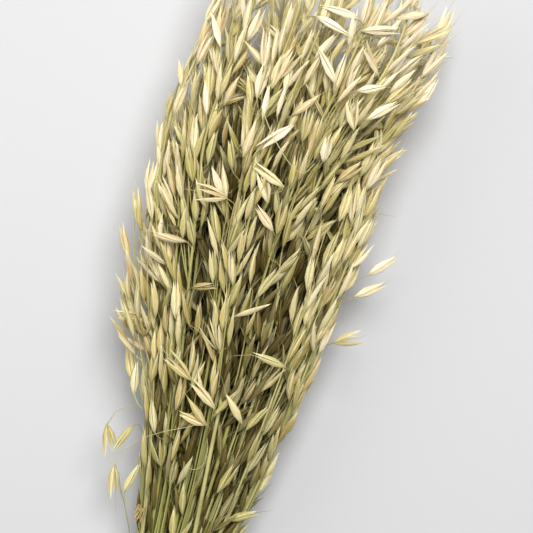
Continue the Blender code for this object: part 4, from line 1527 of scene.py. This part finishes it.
@dataclass
class Details:
    """What stands out: single spikelets that cross the others, loose stems, threads and scraps."""

    spikelets: tuple = (
        (Form.PARTED, (-0.0004, 0.3064, 0.0775), (-0.0205, 0.3092, 0.0765)),
        (Form.CLOSED, (-0.0004, 0.3064, 0.0785), (-0.0178, 0.3212, 0.0810)),
        (Form.PARTED, (0.0023, 0.3182, 0.0800), (-0.0188, 0.3318, 0.0840)),
        (Form.OPEN, (-0.0176, 0.3320, 0.0820), (-0.0387, 0.3455, 0.0840)),
        (Form.CLOSED, (0.0218, 0.3133, 0.0750), (0.0049, 0.3306, 0.0810)),
        (Form.PARTED, (0.0296, 0.2469, 0.0500), (0.0496, 0.2585, 0.0480)),
        (Form.CLOSED, (0.0007, 0.2448, 0.0630), (-0.0044, 0.2675, 0.0670)),
        (Form.CLOSED, (-0.0006, 0.2263, 0.0590), (-0.0062, 0.2493, 0.0630)),
        (Form.PARTED, (0.0187, 0.2648, 0.0640), (0.0255, 0.2882, 0.0680)),
        (Form.CLOSED, (-0.0411, 0.2446, 0.0420), (-0.0358, 0.2678, 0.0440)),
        (Form.CLOSED, (0.0386, 0.3567, 0.0850), (0.0150, 0.3593, 0.0870)),
        (Form.PARTED, (0.0010, 0.5061, 0.1060), (-0.0171, 0.4845, 0.1065)),
        (Form.CLOSED, (0.0193, 0.5377, 0.1110), (0.0013, 0.5572, 0.1125)),
        (Form.CLOSED, (-0.0045, 0.5751, 0.1120), (0.0200, 0.5691, 0.1125)),
        (Form.CLOSED, (0.0225, 0.5809, 0.1120), (-0.0051, 0.5815, 0.1120)),
        (Form.CLOSED, (0.0332, 0.5373, 0.1090), (0.0498, 0.5453, 0.1100)),
        (Form.CLOSED, (0.0637, 0.5973, 0.1030), (0.0390, 0.5866, 0.1050)),
        (Form.PARTED, (0.0252, 0.5743, 0.1090), (0.0505, 0.5822, 0.1090)),
        (Form.PARTED, (0.0444, 0.5220, 0.1040), (0.0617, 0.5393, 0.1050)),
        (Form.OPEN, (0.0383, 0.5135, 0.1050), (0.0321, 0.5326, 0.1070)),
        (Form.CLOSED, (-0.0244, 0.4780, 0.1030), (-0.0233, 0.5038, 0.1050)),
        (Form.OPEN, (0.0251, 0.4889, 0.1030), (0.0240, 0.5062, 0.1050)),
        (Form.WIDE, (-0.0272, 0.4505, 0.0950), (-0.0500, 0.4492, 0.0960)),
        (Form.PARTED, (0.0057, 0.4670, 0.1000), (-0.0186, 0.4758, 0.1010)),
        (Form.OPEN, (-0.0013, 0.4545, 0.0985), (-0.0118, 0.4752, 0.1000)),
        (Form.CLOSED, (-0.0304, 0.4523, 0.0950), (-0.0427, 0.4678, 0.0970)),
        (Form.PARTED, (0.0067, 0.4384, 0.0960), (-0.0088, 0.4510, 0.0980)),
        (Form.CLOSED, (-0.0518, 0.3099, 0.0500), (-0.0560, 0.3330, 0.0520)),
        (Form.PARTED, (-0.0560, 0.3190, 0.0480), (-0.0655, 0.3410, 0.0480)),
        (Form.CLOSED, (-0.0470, 0.2905, 0.0450), (-0.0555, 0.2680, 0.0430)),
    )
    half_width: float = 0.0026
    fork: float = 0.001
    roll: float = 0.3
    root_back: float = 0.014
    stems: tuple = (
        LooseStem(
            ((0.0122, 0.2149, 0.0560), (0.0120, 0.2355, 0.0610), (0.0082, 0.2782, 0.0690),
             (0.0050, 0.3183, 0.0690), (0.0018, 0.3577, 0.0600)), (0.0016, 0.0012), 0.75),
        LooseStem(
            ((-0.0212, 0.5103, 0.1090), (-0.0104, 0.4954, 0.1140), (0.0056, 0.4805, 0.1130),
             (0.0153, 0.4762, 0.1120), (0.0203, 0.4863, 0.1090)), (0.00030, 0.00020), 1.0),
        LooseStem(
            ((-0.0359, 0.2871, 0.0640), (-0.0243, 0.2952, 0.0720), (-0.0100, 0.3024, 0.0770),
             (-0.0009, 0.3083, 0.0780), (0.0036, 0.3039, 0.0740)), (0.00026, 0.00018), 1.0),
        LooseStem(
            ((-0.0067, 0.2751, 0.0660), (0.0015, 0.2753, 0.0695), (0.0059, 0.2816, 0.0715),
             (0.0049, 0.2922, 0.0730), (0.0025, 0.2982, 0.0730)), (0.00026, 0.00018), 1.0),
        LooseStem(
            ((-0.0480, 0.2560, 0.0345), (-0.0440, 0.2450, 0.0335), (-0.0396, 0.2391, 0.0330),
             (-0.0279, 0.2142, 0.0300), (-0.0200, 0.1900, 0.0290)), (0.00020, 0.00034), 0.3),
        LooseStem(
            ((0.0360, 0.2838, 0.0400), (0.0368, 0.2614, 0.0360), (0.0360, 0.2376, 0.0320),
             (0.0310, 0.2100, 0.0290), (0.0240, 0.1850, 0.0280)), (0.00020, 0.00034), 0.3),
    )
    clump_middle: tuple[float, float, float] = (-0.0270, 0.2360, 0.0500)
    clump_half: tuple[float, float, float] = (0.0036, 0.0070, 0.0025)
    clump_threads: int = 9
    clump_points: int = 5
    clump_radii: Pair = (0.00034, 0.00022)
    clump_pale: float = 0.5
    sides: int = 6
    age: float = 0.7
    strip_share: float = 0.9

    def put(self, growth: Growth) -> None:
        """Puts the single spikelets, each on the stalk nearest to it."""
        for form, foot_place, tip_place in self.spikelets:
            foot, tip = place(*foot_place), place(*tip_place)
            along = foot_place[1] - self.root_back
            near = growth.bearer(along, foot)
            axis = growth.axes[near.number]
            root, line = axis.at(along), axis.direction(along)
            side = Heads.width_direction((tip - foot).normalized(), self.roll)
            one = Spikelet(root, foot, tip, side, self.half_width, self.fork, form, line)
            growth.put(one, near.number)

    def clump(self, rng: random.Random) -> list[LooseStem]:
        """Returns the curled golden threads of a clump of broken husks."""
        threads = []
        for _ in range(self.clump_threads):
            places = []
            for _ in range(self.clump_points):
                off = [rng.uniform(-1.0, 1.0) * half for half in self.clump_half]
                places.append(tuple(middle + part for middle, part in zip(self.clump_middle, off)))
            threads.append(LooseStem(tuple(places), self.clump_radii, self.clump_pale, True))
        return threads

    def build(self, finishes: list[bpy.types.Material], rng: random.Random) -> bpy.types.Object:
        """Builds the piece of loose stems, threads and scraps.

        Args:
            finishes: The husks' finish, then the stems'.
            rng: The source of chance.

        Returns:
            The piece.
        """
        mesh = PieceMesh()
        loose = [*self.stems, *self.clump(rng)]
        for number, stem in enumerate(loose):
            line = smooth([place(*spot) for spot in stem.places])
            marks = [float(stem.golden)] * len(line)
            tube = Tube(line, tapered(stem.radii, len(line)), self.sides, marks=marks)
            strip = (0.0, number / len(loose), 1.0, self.strip_share / len(loose))
            finish = HUSK if stem.golden else STEM
            mesh.add_tube(tube, (self.age, rng.random(), stem.pale), finish, strip)
        return mesh.piece("loose_stems", finishes)


@dataclass
class TwineTie:
    """The tie: four turns of three-ply twine, a knot on top, and two frayed ends."""

    fan: Fan
    rng: random.Random
    turns: int = 4
    turn_steps: int = 72
    diameter: float = 0.0022
    clearance: float = 0.0003
    ring_steps: int = 16
    plies: int = 3
    ply_radius: float = 0.00056
    ply_offset: float = 0.00052
    ply_sides: int = 6
    ply_strips: int = 4
    ply_scale: float = 200.0
    lay: float = 0.0062
    points_a_lay: int = 9
    least_points: int = 6
    first_normal: tuple[float, float, float] = (0.3, 0.2, 1.0)
    knot_half_size: tuple[float, float, float] = (0.0046, 0.0036, 0.0030)
    knot_reach: tuple[float, float, float] = (2.9, 2.9, 1.0)
    end: tuple = ((0.0, 0.0, 0.001), (0.007, 0.007, 0.0025), (0.015, 0.013, 0.001), (0.021, 0.020, -0.005))
    fibres: int = 260
    fibre_from: float = 0.42
    fibre_rise: Pair = (0.2, 0.8)
    fibre_bend: float = 0.5
    fibre_length: Pair = (0.0012, 0.0034)
    fibre_radius: float = 0.00007
    fibre_profile: tuple = (1.0, 0.8, 0.4)
    fibre_sides: int = 3
    fibre_edge: float = 0.0002
    fray: int = 16
    fray_from: float = 0.3
    fray_back: float = 0.001
    fray_spread: Pair = (0.1, 0.6)
    fray_length: float = 0.0032
    age: float = 0.5
    strip_share: float = 0.96
    hair_share: float = 0.9

    def frame_of(self) -> tuple[Vector, Vector, Vector, float]:
        """Returns the tie's middle, the direction of its axis, the way up across it, and its inner radius."""
        middle = place(0.0, self.fan.tie_at, self.fan.middle_height(self.fan.tie_at))
        axis = Vector((0.0, 1.0, self.fan.climb)).normalized()
        inner = self.fan.packed_radius() + self.fan.straw_radius + self.clearance
        rise = (UP - axis * UP.dot(axis)).normalized()
        return middle, axis, rise, inner / math.cos(math.pi / self.ring_steps)

    def top(self) -> Vector:
        """Returns the place of the knot, on top of the turns."""
        middle, _, _, inner = self.frame_of()
        return middle + UP * (inner + self.diameter)

    def coil(self) -> list[Vector]:
        """Returns the line of the turns, from the knot round the bundle and back to it."""
        middle, axis, rise, inner = self.frame_of()
        aside = rise.cross(axis)
        reach = inner + self.diameter / 2
        count = self.turns * self.turn_steps
        points = []
        for step in range(count + 1):
            turn = 2 * math.pi * self.turns * step / count
            off = (step / count - 0.5) * self.diameter * (self.turns - 1)
            points.append(middle + axis * off + (rise * math.cos(turn) + aside * math.sin(turn)) * reach)
        return points

    def knot(self) -> list[Vector]:
        """Returns the line of the knot, a closed trefoil, on top of the turns."""
        top, radius = self.top(), self.diameter / 2
        sizes = [(half - radius) / reach for half, reach in zip(self.knot_half_size, self.knot_reach)]
        points = []
        for step in range(self.turn_steps + 1):
            turn = 2 * math.pi * step / self.turn_steps
            x, y = math.sin(turn) + 2 * math.sin(2 * turn), math.cos(turn) - 2 * math.cos(2 * turn)
            points.append(top + Vector((x * sizes[0], y * sizes[1], -math.sin(3 * turn) * sizes[2])))
        return points

    def ends(self) -> list[list[Vector]]:
        """Returns the lines of the two ends, which hang down on both sides of the knot."""
        top = self.top()
        lines = []
        for side in (1, -1):
            corners = [(side * across, -back, rise) for across, back, rise in self.end]
            lines.append([top + point for point in smooth(corners, steps=7, rounds=3)])
        return lines

    def twisted(self, line: list[Vector]) -> list[Tube]:
        """Returns the three twisted plies of a stretch of twine."""
        rows = np.array([tuple(point) for point in line])
        reach = np.concatenate([[0.0], np.cumsum(np.linalg.norm(np.diff(rows, axis=0), axis=1))])
        count = max(int(reach[-1] / self.lay * self.points_a_lay), self.least_points)
        spots = np.linspace(0.0, reach[-1], count)
        even = np.stack([np.interp(spots, reach, rows[:, part]) for part in range(3)], axis=1)
        points = [Vector(row) for row in even]
        normal = Vector(self.first_normal)
        sides = []
        for step in range(count):
            run = (points[min(step + 1, count - 1)] - points[max(step - 1, 0)]).normalized()
            normal = (normal - run * normal.dot(run)).normalized()
            sides.append((normal, run.cross(normal)))
        plies = []
        for ply in range(self.plies):
            path = []
            for spot, point, (first, second) in zip(spots, points, sides):
                turn = 2 * math.pi * (spot / self.lay + ply / self.plies)
                path.append(point + (first * math.cos(turn) + second * math.sin(turn)) * self.ply_offset)
            radii = [self.ply_radius] * count
            plies.append(Tube(path, radii, self.ply_sides, self.ply_strips, scale=self.ply_scale))
        return plies

    def away(self, run: Vector) -> Vector:
        """Returns a random direction square to a run of the twine."""
        rng = self.rng
        return Vector((rng.uniform(-1, 1), rng.uniform(-1, 1), rng.uniform(-1, 1))).cross(run).normalized()

    def hairs(self, lines: list[list[Vector]]) -> list[Tube]:
        """Returns the loose fibres along the twine and the frayed tufts at its ends."""
        rng, hairs = self.rng, []
        for _ in range(self.fibres):
            line = rng.choice(lines)
            step = rng.randrange(1, len(line) - 1)
            run = (line[step + 1] - line[step - 1]).normalized()
            away = self.away(run)
            start = line[step] + away * self.diameter * self.fibre_from
            bent = (away * rng.uniform(*self.fibre_rise) + run * rng.choice((-1, 1))).normalized()
            length = between(self.fibre_length, rng.random())
            middle = start + bent * length * 0.5
            turned = (bent + away * rng.uniform(-self.fibre_bend, self.fibre_bend)).normalized()
            hairs.append([start, middle, middle + turned * length * 0.5])
        for line in lines[-2:]:
            run = (line[-1] - line[-3]).normalized()
            for _ in range(self.fray):
                away = self.away(run)
                start = line[-1] + away * self.diameter * self.fray_from - run * self.fray_back
                bent = (run + away * rng.uniform(*self.fray_spread)).normalized()
                hairs.append([start, start + run * self.fray_length * 0.5, start + bent * self.fray_length])
        radii = [self.fibre_radius * share for share in self.fibre_profile]
        inside = [points for points in hairs if all(in_box(point, self.fibre_edge) for point in points)]
        return [Tube(points, radii, self.fibre_sides) for points in inside]

    def build(self, finish: bpy.types.Material) -> bpy.types.Object:
        """Builds the tie's piece."""
        mesh = PieceMesh()
        lines = [self.coil(), self.knot(), *self.ends()]
        plies = [ply for line in lines for ply in self.twisted(line)]
        hairs = self.hairs(lines)
        rows, columns = len(plies) + 1, len(hairs)
        high, wide = self.strip_share / rows, self.hair_share / columns
        strips = [(0.0, number / rows, 1.0, high) for number in range(len(plies))]
        strips += [(number / columns, len(plies) / rows, wide, high) for number in range(columns)]
        for number, (tube, strip) in enumerate(zip([*plies, *hairs], strips)):
            tone = (self.age, self.rng.random(), self.rng.random())
            mesh.add_tube(tube, tone, 0, strip, number >= len(plies))
        return mesh.piece("tied_twine", [finish])


class Shader:
    """A finish's node tree, wired by short calls."""

    relief = 0.6

    def __init__(self, name: str) -> None:
        """Starts a material with its shader."""
        self.material = bpy.data.materials.new(name)
        self.material.use_nodes = True
        self.tree = self.material.node_tree
        self.surface = self.tree.nodes["Principled BSDF"]

    def link(self, value: object, socket: bpy.types.NodeSocket) -> None:
        """Gives a socket a number, a colour or another node's output."""
        if isinstance(value, bpy.types.NodeSocket):
            self.tree.links.new(value, socket)
        else:
            socket.default_value = value

    def attribute(self, name: str) -> list[bpy.types.NodeSocket]:
        """Returns the three parts of one of the mesh's attributes."""
        node = self.tree.nodes.new("ShaderNodeAttribute")
        node.attribute_name = name
        return self.parts(node.outputs["Vector"])

    def place(self) -> bpy.types.NodeSocket:
        """Returns the object coordinates."""
        return self.tree.nodes.new("ShaderNodeTexCoord").outputs["Object"]

    def parts(self, vector: bpy.types.NodeSocket) -> list[bpy.types.NodeSocket]:
        """Returns the three parts of a vector."""
        node = self.tree.nodes.new("ShaderNodeSeparateXYZ")
        self.tree.links.new(vector, node.inputs[0])
        return list(node.outputs)

    def math(self, operation: str, first: object, second: object = 0.0) -> bpy.types.NodeSocket:
        """Returns what an operation makes of one or two values."""
        node = self.tree.nodes.new("ShaderNodeMath")
        node.operation = operation
        for value, socket in zip((first, second), node.inputs):
            self.link(value, socket)
        return node.outputs[0]

    def stretch(self, value: object, low: float, high: float, start: float = 0.0, end: float = 1.0) -> object:
        """Returns a value mapped softly from one range to another, and held at its ends."""
        node = self.tree.nodes.new("ShaderNodeMapRange")
        node.interpolation_type = "SMOOTHSTEP"
        for given, socket in zip((value, low, high, start, end), node.inputs):
            self.link(given, socket)
        return node.outputs[0]

    def mix(self, share: object, first: object, second: object, blend: str = "MIX") -> bpy.types.NodeSocket:
        """Returns two colours mixed."""
        node = self.tree.nodes.new("ShaderNodeMix")
        node.data_type = "RGBA"
        node.blend_type = blend
        self.link(share, node.inputs[0])
        for value, socket in ((first, node.inputs[6]), (second, node.inputs[7])):
            self.link((*value, 1.0) if isinstance(value, tuple) else value, socket)
        return node.outputs[2]

    def ramp(self, value: object, stops: tuple) -> bpy.types.NodeSocket:
        """Returns the colour that a value has on a ramp of (place, colour) stops."""
        node = self.tree.nodes.new("ShaderNodeValToRGB")
        elements = node.color_ramp.elements
        while len(elements) < len(stops):
            elements.new(0.5)
        for element, (spot, colour) in zip(elements, stops):
            element.position = spot
            element.color = (*colour, 1.0)
        self.link(value, node.inputs[0])
        return node.outputs[0]

    def noise(self, vector: object, scale: float, detail: float = 3.0) -> bpy.types.NodeSocket:
        """Returns a noise value at a place."""
        node = self.tree.nodes.new("ShaderNodeTexNoise")
        node.inputs["Scale"].default_value = scale
        node.inputs["Detail"].default_value = detail
        self.link(vector, node.inputs["Vector"])
        return node.outputs[0]

    def vector(self, x: object, y: object, z: object) -> bpy.types.NodeSocket:
        """Returns a vector from its three parts."""
        node = self.tree.nodes.new("ShaderNodeCombineXYZ")
        for value, socket in zip((x, y, z), node.inputs):
            self.link(value, socket)
        return node.outputs[0]

    def scaled(self, value: object, factor: float) -> bpy.types.NodeSocket:
        """Returns a value times a factor."""
        return self.math("MULTIPLY", value, factor)

    def layered(self, colour: object, *layers: tuple) -> bpy.types.NodeSocket:
        """Lays colours over a colour, one after the other.

        Args:
            colour: The colour below.
            layers: Of each: what it follows, where that starts and is full, its cover there, its colour.

        Returns:
            The colour with all its layers.
        """
        for value, start, full, cover, other in layers:
            colour = self.mix(self.stretch(value, start, full, 0.0, cover), colour, other)
        return colour

    def finish(self, colour: object, roughness: object, height: object, depth: float) -> bpy.types.Material:
        """Wires colour, roughness and relief to the shader and returns the material.

        Args:
            colour: Base colour.
            roughness: Roughness.
            height: Relief from 0 to 1.
            depth: How deep the relief is, in metres.

        Returns:
            The material.
        """
        bump = self.tree.nodes.new("ShaderNodeBump")
        for value, socket in ((self.relief, "Strength"), (depth, "Distance"), (height, "Height")):
            self.link(value, bump.inputs[socket])
        for value, socket in ((colour, "Base Color"), (roughness, "Roughness"), (bump.outputs[0], "Normal")):
            self.link(value, self.surface.inputs[socket])
        return self.material


@dataclass(frozen=True)
class HuskFinish:
    """Dry papery husk: olive to cream by age, with fine dark veins, pale edges and golden insides, and
    painted shade that darkens the deep inner spikelets.
    """

    ages: tuple = (
        (0.00, (0.330, 0.290, 0.075)),
        (0.42, (0.480, 0.420, 0.125)),
        (0.70, (0.710, 0.610, 0.260)),
        (1.00, (1.000, 0.890, 0.680)),
    )
    golden: tuple = (0.50, 0.34, 0.13)
    green: tuple = (0.30, 0.32, 0.11)
    papery: tuple = (0.91, 0.85, 0.55)
    veined: tuple = (0.56, 0.48, 0.32)
    # Painted shade: a warm dark tint multiplied over the deep inner spikelets, to darken the gaps between
    # them.
    shade: tuple = (0.26, 0.22, 0.105)
    veins: float = 4.5
    depth: float = 0.00016

    def make(self) -> bpy.types.Material:
        """Returns the material."""
        node = Shader("oat_husk")
        across, along, inside = node.attribute("grain")
        age, warmth, pale = node.attribute("tone")
        colour = node.layered(
            node.ramp(age, self.ages),
            (warmth, 0.55, 1.0, 0.58, self.golden),
            (warmth, 0.40, 0.0, 0.35, self.green),
            (pale, 0.55, 1.0, 0.50, self.papery),
        )
        streaks = node.vector(node.scaled(across, 6.0), node.scaled(along, 2.0), warmth)
        streak = node.noise(streaks, 2.2, detail=2.0)
        wave = node.math("PINGPONG", node.scaled(across, self.veins), 0.5)
        fading = node.stretch(along, 0.95, 0.45, 0.15, 1.0)
        vein = node.math("MULTIPLY", node.stretch(wave, 0.16, 0.0), fading)
        speckle = node.noise(node.place(), 900.0, detail=2.0)
        dark = node.mix(1.0, colour, self.veined, "MULTIPLY")
        colour = node.layered(
            node.mix(node.scaled(vein, 0.65), colour, dark),
            (streak, 0.40, 0.66, 0.40, dark),
            (node.math("ABSOLUTE", across), 0.70, 1.0, 0.55, self.papery),
            (along, 0.62, 1.0, 0.50, self.papery),
            (along, 0.20, 0.0, 0.55, self.green),
        )
        colour = node.mix(node.scaled(inside, 0.70), colour, self.golden)
        colour = node.layered(colour, (speckle, 0.58, 0.72, 0.25, dark))
        # Painted shade: the least bleached, deepest spikelets are darkened by the multiplied tint.
        shaded = node.mix(1.0, colour, self.shade, "MULTIPLY")
        colour = node.layered(colour, (age, 0.32, 0.0, 1.0, shaded))
        height = node.math("SUBTRACT", node.scaled(speckle, 0.4), vein)
        return node.finish(colour, node.stretch(streak, 0.2, 0.8, 0.40, 0.58), height, self.depth)


@dataclass(frozen=True)
class StemFinish:
    """Dry straw: olive green low down, beige up in the heads, streaked lengthwise, brown at the joints, with
    near-black painted shade on inner stalks and deep fine stems.
    """

    low: tuple = (0.330, 0.328, 0.088)
    high: tuple = (0.50, 0.44, 0.16)
    pale: tuple = (0.66, 0.60, 0.28)
    # Painted shade: near-black colour for the inner stalks and the pedicels and awns of deep spikelets.
    deep: tuple = (0.045, 0.040, 0.010)
    brown: tuple = (0.20, 0.13, 0.05)
    streaked: tuple = (0.58, 0.54, 0.42)
    roughness: float = 0.55
    depth: float = 0.00012

    def make(self) -> bpy.types.Material:
        """Returns the material."""
        node = Shader("oat_straw")
        across, along, joint = node.attribute("grain")
        age, warmth, pale = node.attribute("tone")
        spot = node.place()
        y = node.parts(spot)[1]
        colour = node.layered(
            node.mix(node.stretch(y, -0.10, 0.26), self.low, self.high),
            (y, -0.18, -0.33, 0.55, self.pale),
            (pale, 0.35, 1.0, 0.75, self.pale),
            # Painted shade: inner stalks and deep fine stems mixed towards near black.
            (age, 0.60, 0.0, 0.85, self.deep),
        )
        streaks = node.vector(node.scaled(across, 5.0), node.scaled(along, 1.2), warmth)
        streak = node.noise(streaks, 2.6)
        dark = node.mix(1.0, colour, self.streaked, "MULTIPLY")
        blotch = node.noise(spot, 45.0, detail=2.0)
        stains = ((streak, 0.42, 0.70, 0.75, dark), (blotch, 0.50, 0.75, 0.45, self.brown))
        colour = node.layered(colour, *stains)
        colour = node.mix(node.scaled(joint, 0.75), colour, self.brown)
        ribs = node.math("SINE", node.scaled(across, 26.0))
        height = node.math("ADD", node.scaled(ribs, 0.3), streak)
        return node.finish(colour, self.roughness, height, self.depth)


@dataclass(frozen=True)
class TwineFinish:
    """Natural twine: brown plies of fine, dull fibres."""

    dark: tuple = (0.20, 0.125, 0.055)
    middle: tuple = (0.42, 0.29, 0.145)
    pale: tuple = (0.62, 0.48, 0.28)
    roughness: float = 0.85
    depth: float = 0.00025

    def make(self) -> bpy.types.Material:
        """Returns the material."""
        node = Shader("natural_twine")
        across, along, _ = node.attribute("grain")
        _, warmth, pale = node.attribute("tone")
        fibre = node.noise(node.vector(node.scaled(across, 3.0), along, warmth), 3.0, detail=4.0)
        colour = node.ramp(fibre, ((0.30, self.dark), (0.50, self.middle), (0.72, self.pale)))
        colour = node.layered(colour, (pale, 0.2, 1.0, 0.35, self.pale))
        return node.finish(colour, self.roughness, fibre, self.depth)


@dataclass(frozen=True)
class FloorFinish:
    """Plain pale studio floor."""

    colour: tuple = (0.53, 0.53, 0.538)
    shading: float = 0.985
    roughness: float = 0.9
    depth: float = 0.00001

    def make(self) -> bpy.types.Material:
        """Returns the material."""
        node = Shader("pale_floor")
        tint = node.noise(node.place(), 1.5, detail=1.0)
        other = tuple(self.shading * part for part in self.colour)
        colour = node.mix(node.stretch(tint, 0.3, 0.7), self.colour, other)
        return node.finish(colour, self.roughness, tint, self.depth)


@dataclass
class PhotoView:
    """The camera: it looks straight down on the lying bundle, turned as the photograph has it."""

    metres_per_pixel: float = 0.00066
    pixels: int = 533
    turn: float = 16.0
    anchor_pixel: Pair = (176.0, 533.0)
    anchor_along: float = 0.23
    height: float = 1.3
    target: float = 0.05
    sensor: float = 36.0

    def __post_init__(self) -> None:
        """Works out the directions of the picture's sides and its middle."""
        angle = math.radians(self.turn)
        self.up = Vector((-math.sin(angle), math.cos(angle), 0.0))
        self.right = Vector((math.cos(angle), math.sin(angle), 0.0))
        half = self.pixels / 2
        anchor = place(0.0, self.anchor_along, 0.0)
        self.middle = anchor + self.right * (half - self.anchor_pixel[0]) * self.metres_per_pixel
        self.middle += self.up * (self.anchor_pixel[1] - half) * self.metres_per_pixel

    def make(self) -> None:
        """Adds the camera."""
        data = bpy.data.cameras.new("camera")
        data.sensor_width = self.sensor
        data.lens = self.sensor * (self.height - self.target) / (self.pixels * self.metres_per_pixel)
        camera = bpy.data.objects.new("camera", data)
        bpy.context.scene.collection.objects.link(camera)
        turned = Matrix((self.right, self.up, UP)).transposed().to_4x4()
        turned.translation = Vector((self.middle.x, self.middle.y, self.height))
        camera.matrix_world = turned
        bpy.context.scene.camera = camera


@dataclass
class Studio:
    """Plain soft studio: a pale floor, an even sky and two large soft lamps."""

    view: PhotoView
    floor_half: float = 6.0
    floor_height: float = -0.0002
    sky: float = 0.14
    lamps: tuple = (
        ("key_lamp", 60.5, 1.2, (0.29, 0.70, 1.90)),
        ("fill_lamp", 10.5, 1.4, (-1.3, 0.2, 0.9)),
    )

    def floor(self) -> None:
        """Adds the floor."""
        deselect_all()
        bpy.ops.mesh.primitive_plane_add(size=2 * self.floor_half, location=(0.0, 0.0, self.floor_height))
        floor = bpy.context.object
        floor.name = "studio_floor"
        bpy.ops.object.transform_apply(location=True, rotation=False, scale=False)
        floor.data.materials.append(FloorFinish().make())

    def lamp(self, name: str, power: float, size: float, spot: tuple) -> None:
        """Adds a large soft lamp that points at the bundle.

        Args:
            name: Its name.
            power: Its power.
            size: The side of its square face.
            spot: How far from the picture's middle it is: to the right, up the picture, and above the floor.
        """
        light = bpy.data.lights.new(name, "AREA")
        light.energy = power
        light.size = size
        lamp = bpy.data.objects.new(name, light)
        lamp.location = self.view.middle + self.view.right * spot[0] + self.view.up * spot[1] + UP * spot[2]
        lamp.rotation_euler = (self.view.middle - lamp.location).to_track_quat("-Z", "Y").to_euler()
        bpy.context.scene.collection.objects.link(lamp)

    def make(self) -> None:
        """Adds the floor, the sky and the lamps."""
        self.floor()
        world = bpy.data.worlds.new("studio_sky")
        world.use_nodes = True
        backdrop = world.node_tree.nodes["Background"]
        backdrop.inputs[0].default_value = (1.0, 1.0, 1.0, 1.0)
        backdrop.inputs[1].default_value = self.sky
        bpy.context.scene.world = world
        bpy.context.scene.view_settings.view_transform = "Standard"
        for lamp in self.lamps:
            self.lamp(*lamp)


class OatBundle:
    """The whole bundle, built piece by piece."""

    seed = 7
    finer_seed = 11

    def __init__(self) -> None:
        """Grows the stalks and their heads: as the solids have them, then what is finer."""
        rng = random.Random(self.seed)
        self.fan = Fan()
        self.heads = Heads(self.fan)
        self.growth = Growth(self.fan.grow(rng), rng)
        self.heads.ends(self.growth)
        self.heads.stray(self.growth)
        self.heads.rest(self.growth)
        self.heads.main_ones(self.growth)
        self.heads.give_forms(self.growth)
        self.growth.rng = random.Random(self.finer_seed)
        self.details = Details()
        self.details.put(self.growth)
        self.twigs = FinerHeads(self.heads, self.growth).grow()
        counts = [sum(map(len, grown.values())) for grown in (self.growth.heads, self.twigs)]
        LOG.info("%d spikelets, %d twigs", *counts)

    def build(self) -> None:
        """Builds every piece."""
        growth, shapes = self.growth, HuskShapes()
        finishes = [HuskFinish().make(), StemFinish().make()]
        maker = OatStalk(self.heads, shapes, shapes.spikelets(), finishes, growth.rng)
        for stalk in growth.stalks:
            number = stalk.number
            made = maker.build(stalk, growth.axes[number], self.twigs[number], growth.heads[number])
            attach(made, BODY)
            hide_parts(f"stalk_{number:02d}")
            self.log(made)
        loose = self.details.build(finishes, growth.rng)
        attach(loose, BODY)
        self.log(loose)
        tie = TwineTie(self.fan, growth.rng).build(TwineFinish().make())
        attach(tie, BODY)
        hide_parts("twine_tie")
        self.log(tie)

    @staticmethod
    def log(made: bpy.types.Object) -> None:
        """Logs a finished piece."""
        LOG.info("%s: %d faces", made.name, len(made.data.polygons))


def main() -> None:
    """Builds the studio and the bundle, piece by piece."""
    view = PhotoView()
    view.make()
    Studio(view).make()
    OatBundle().build()
    bpy.context.view_layer.update()


if __name__ == "__main__":
    logging.basicConfig(level=logging.INFO, format="%(message)s")
    main()
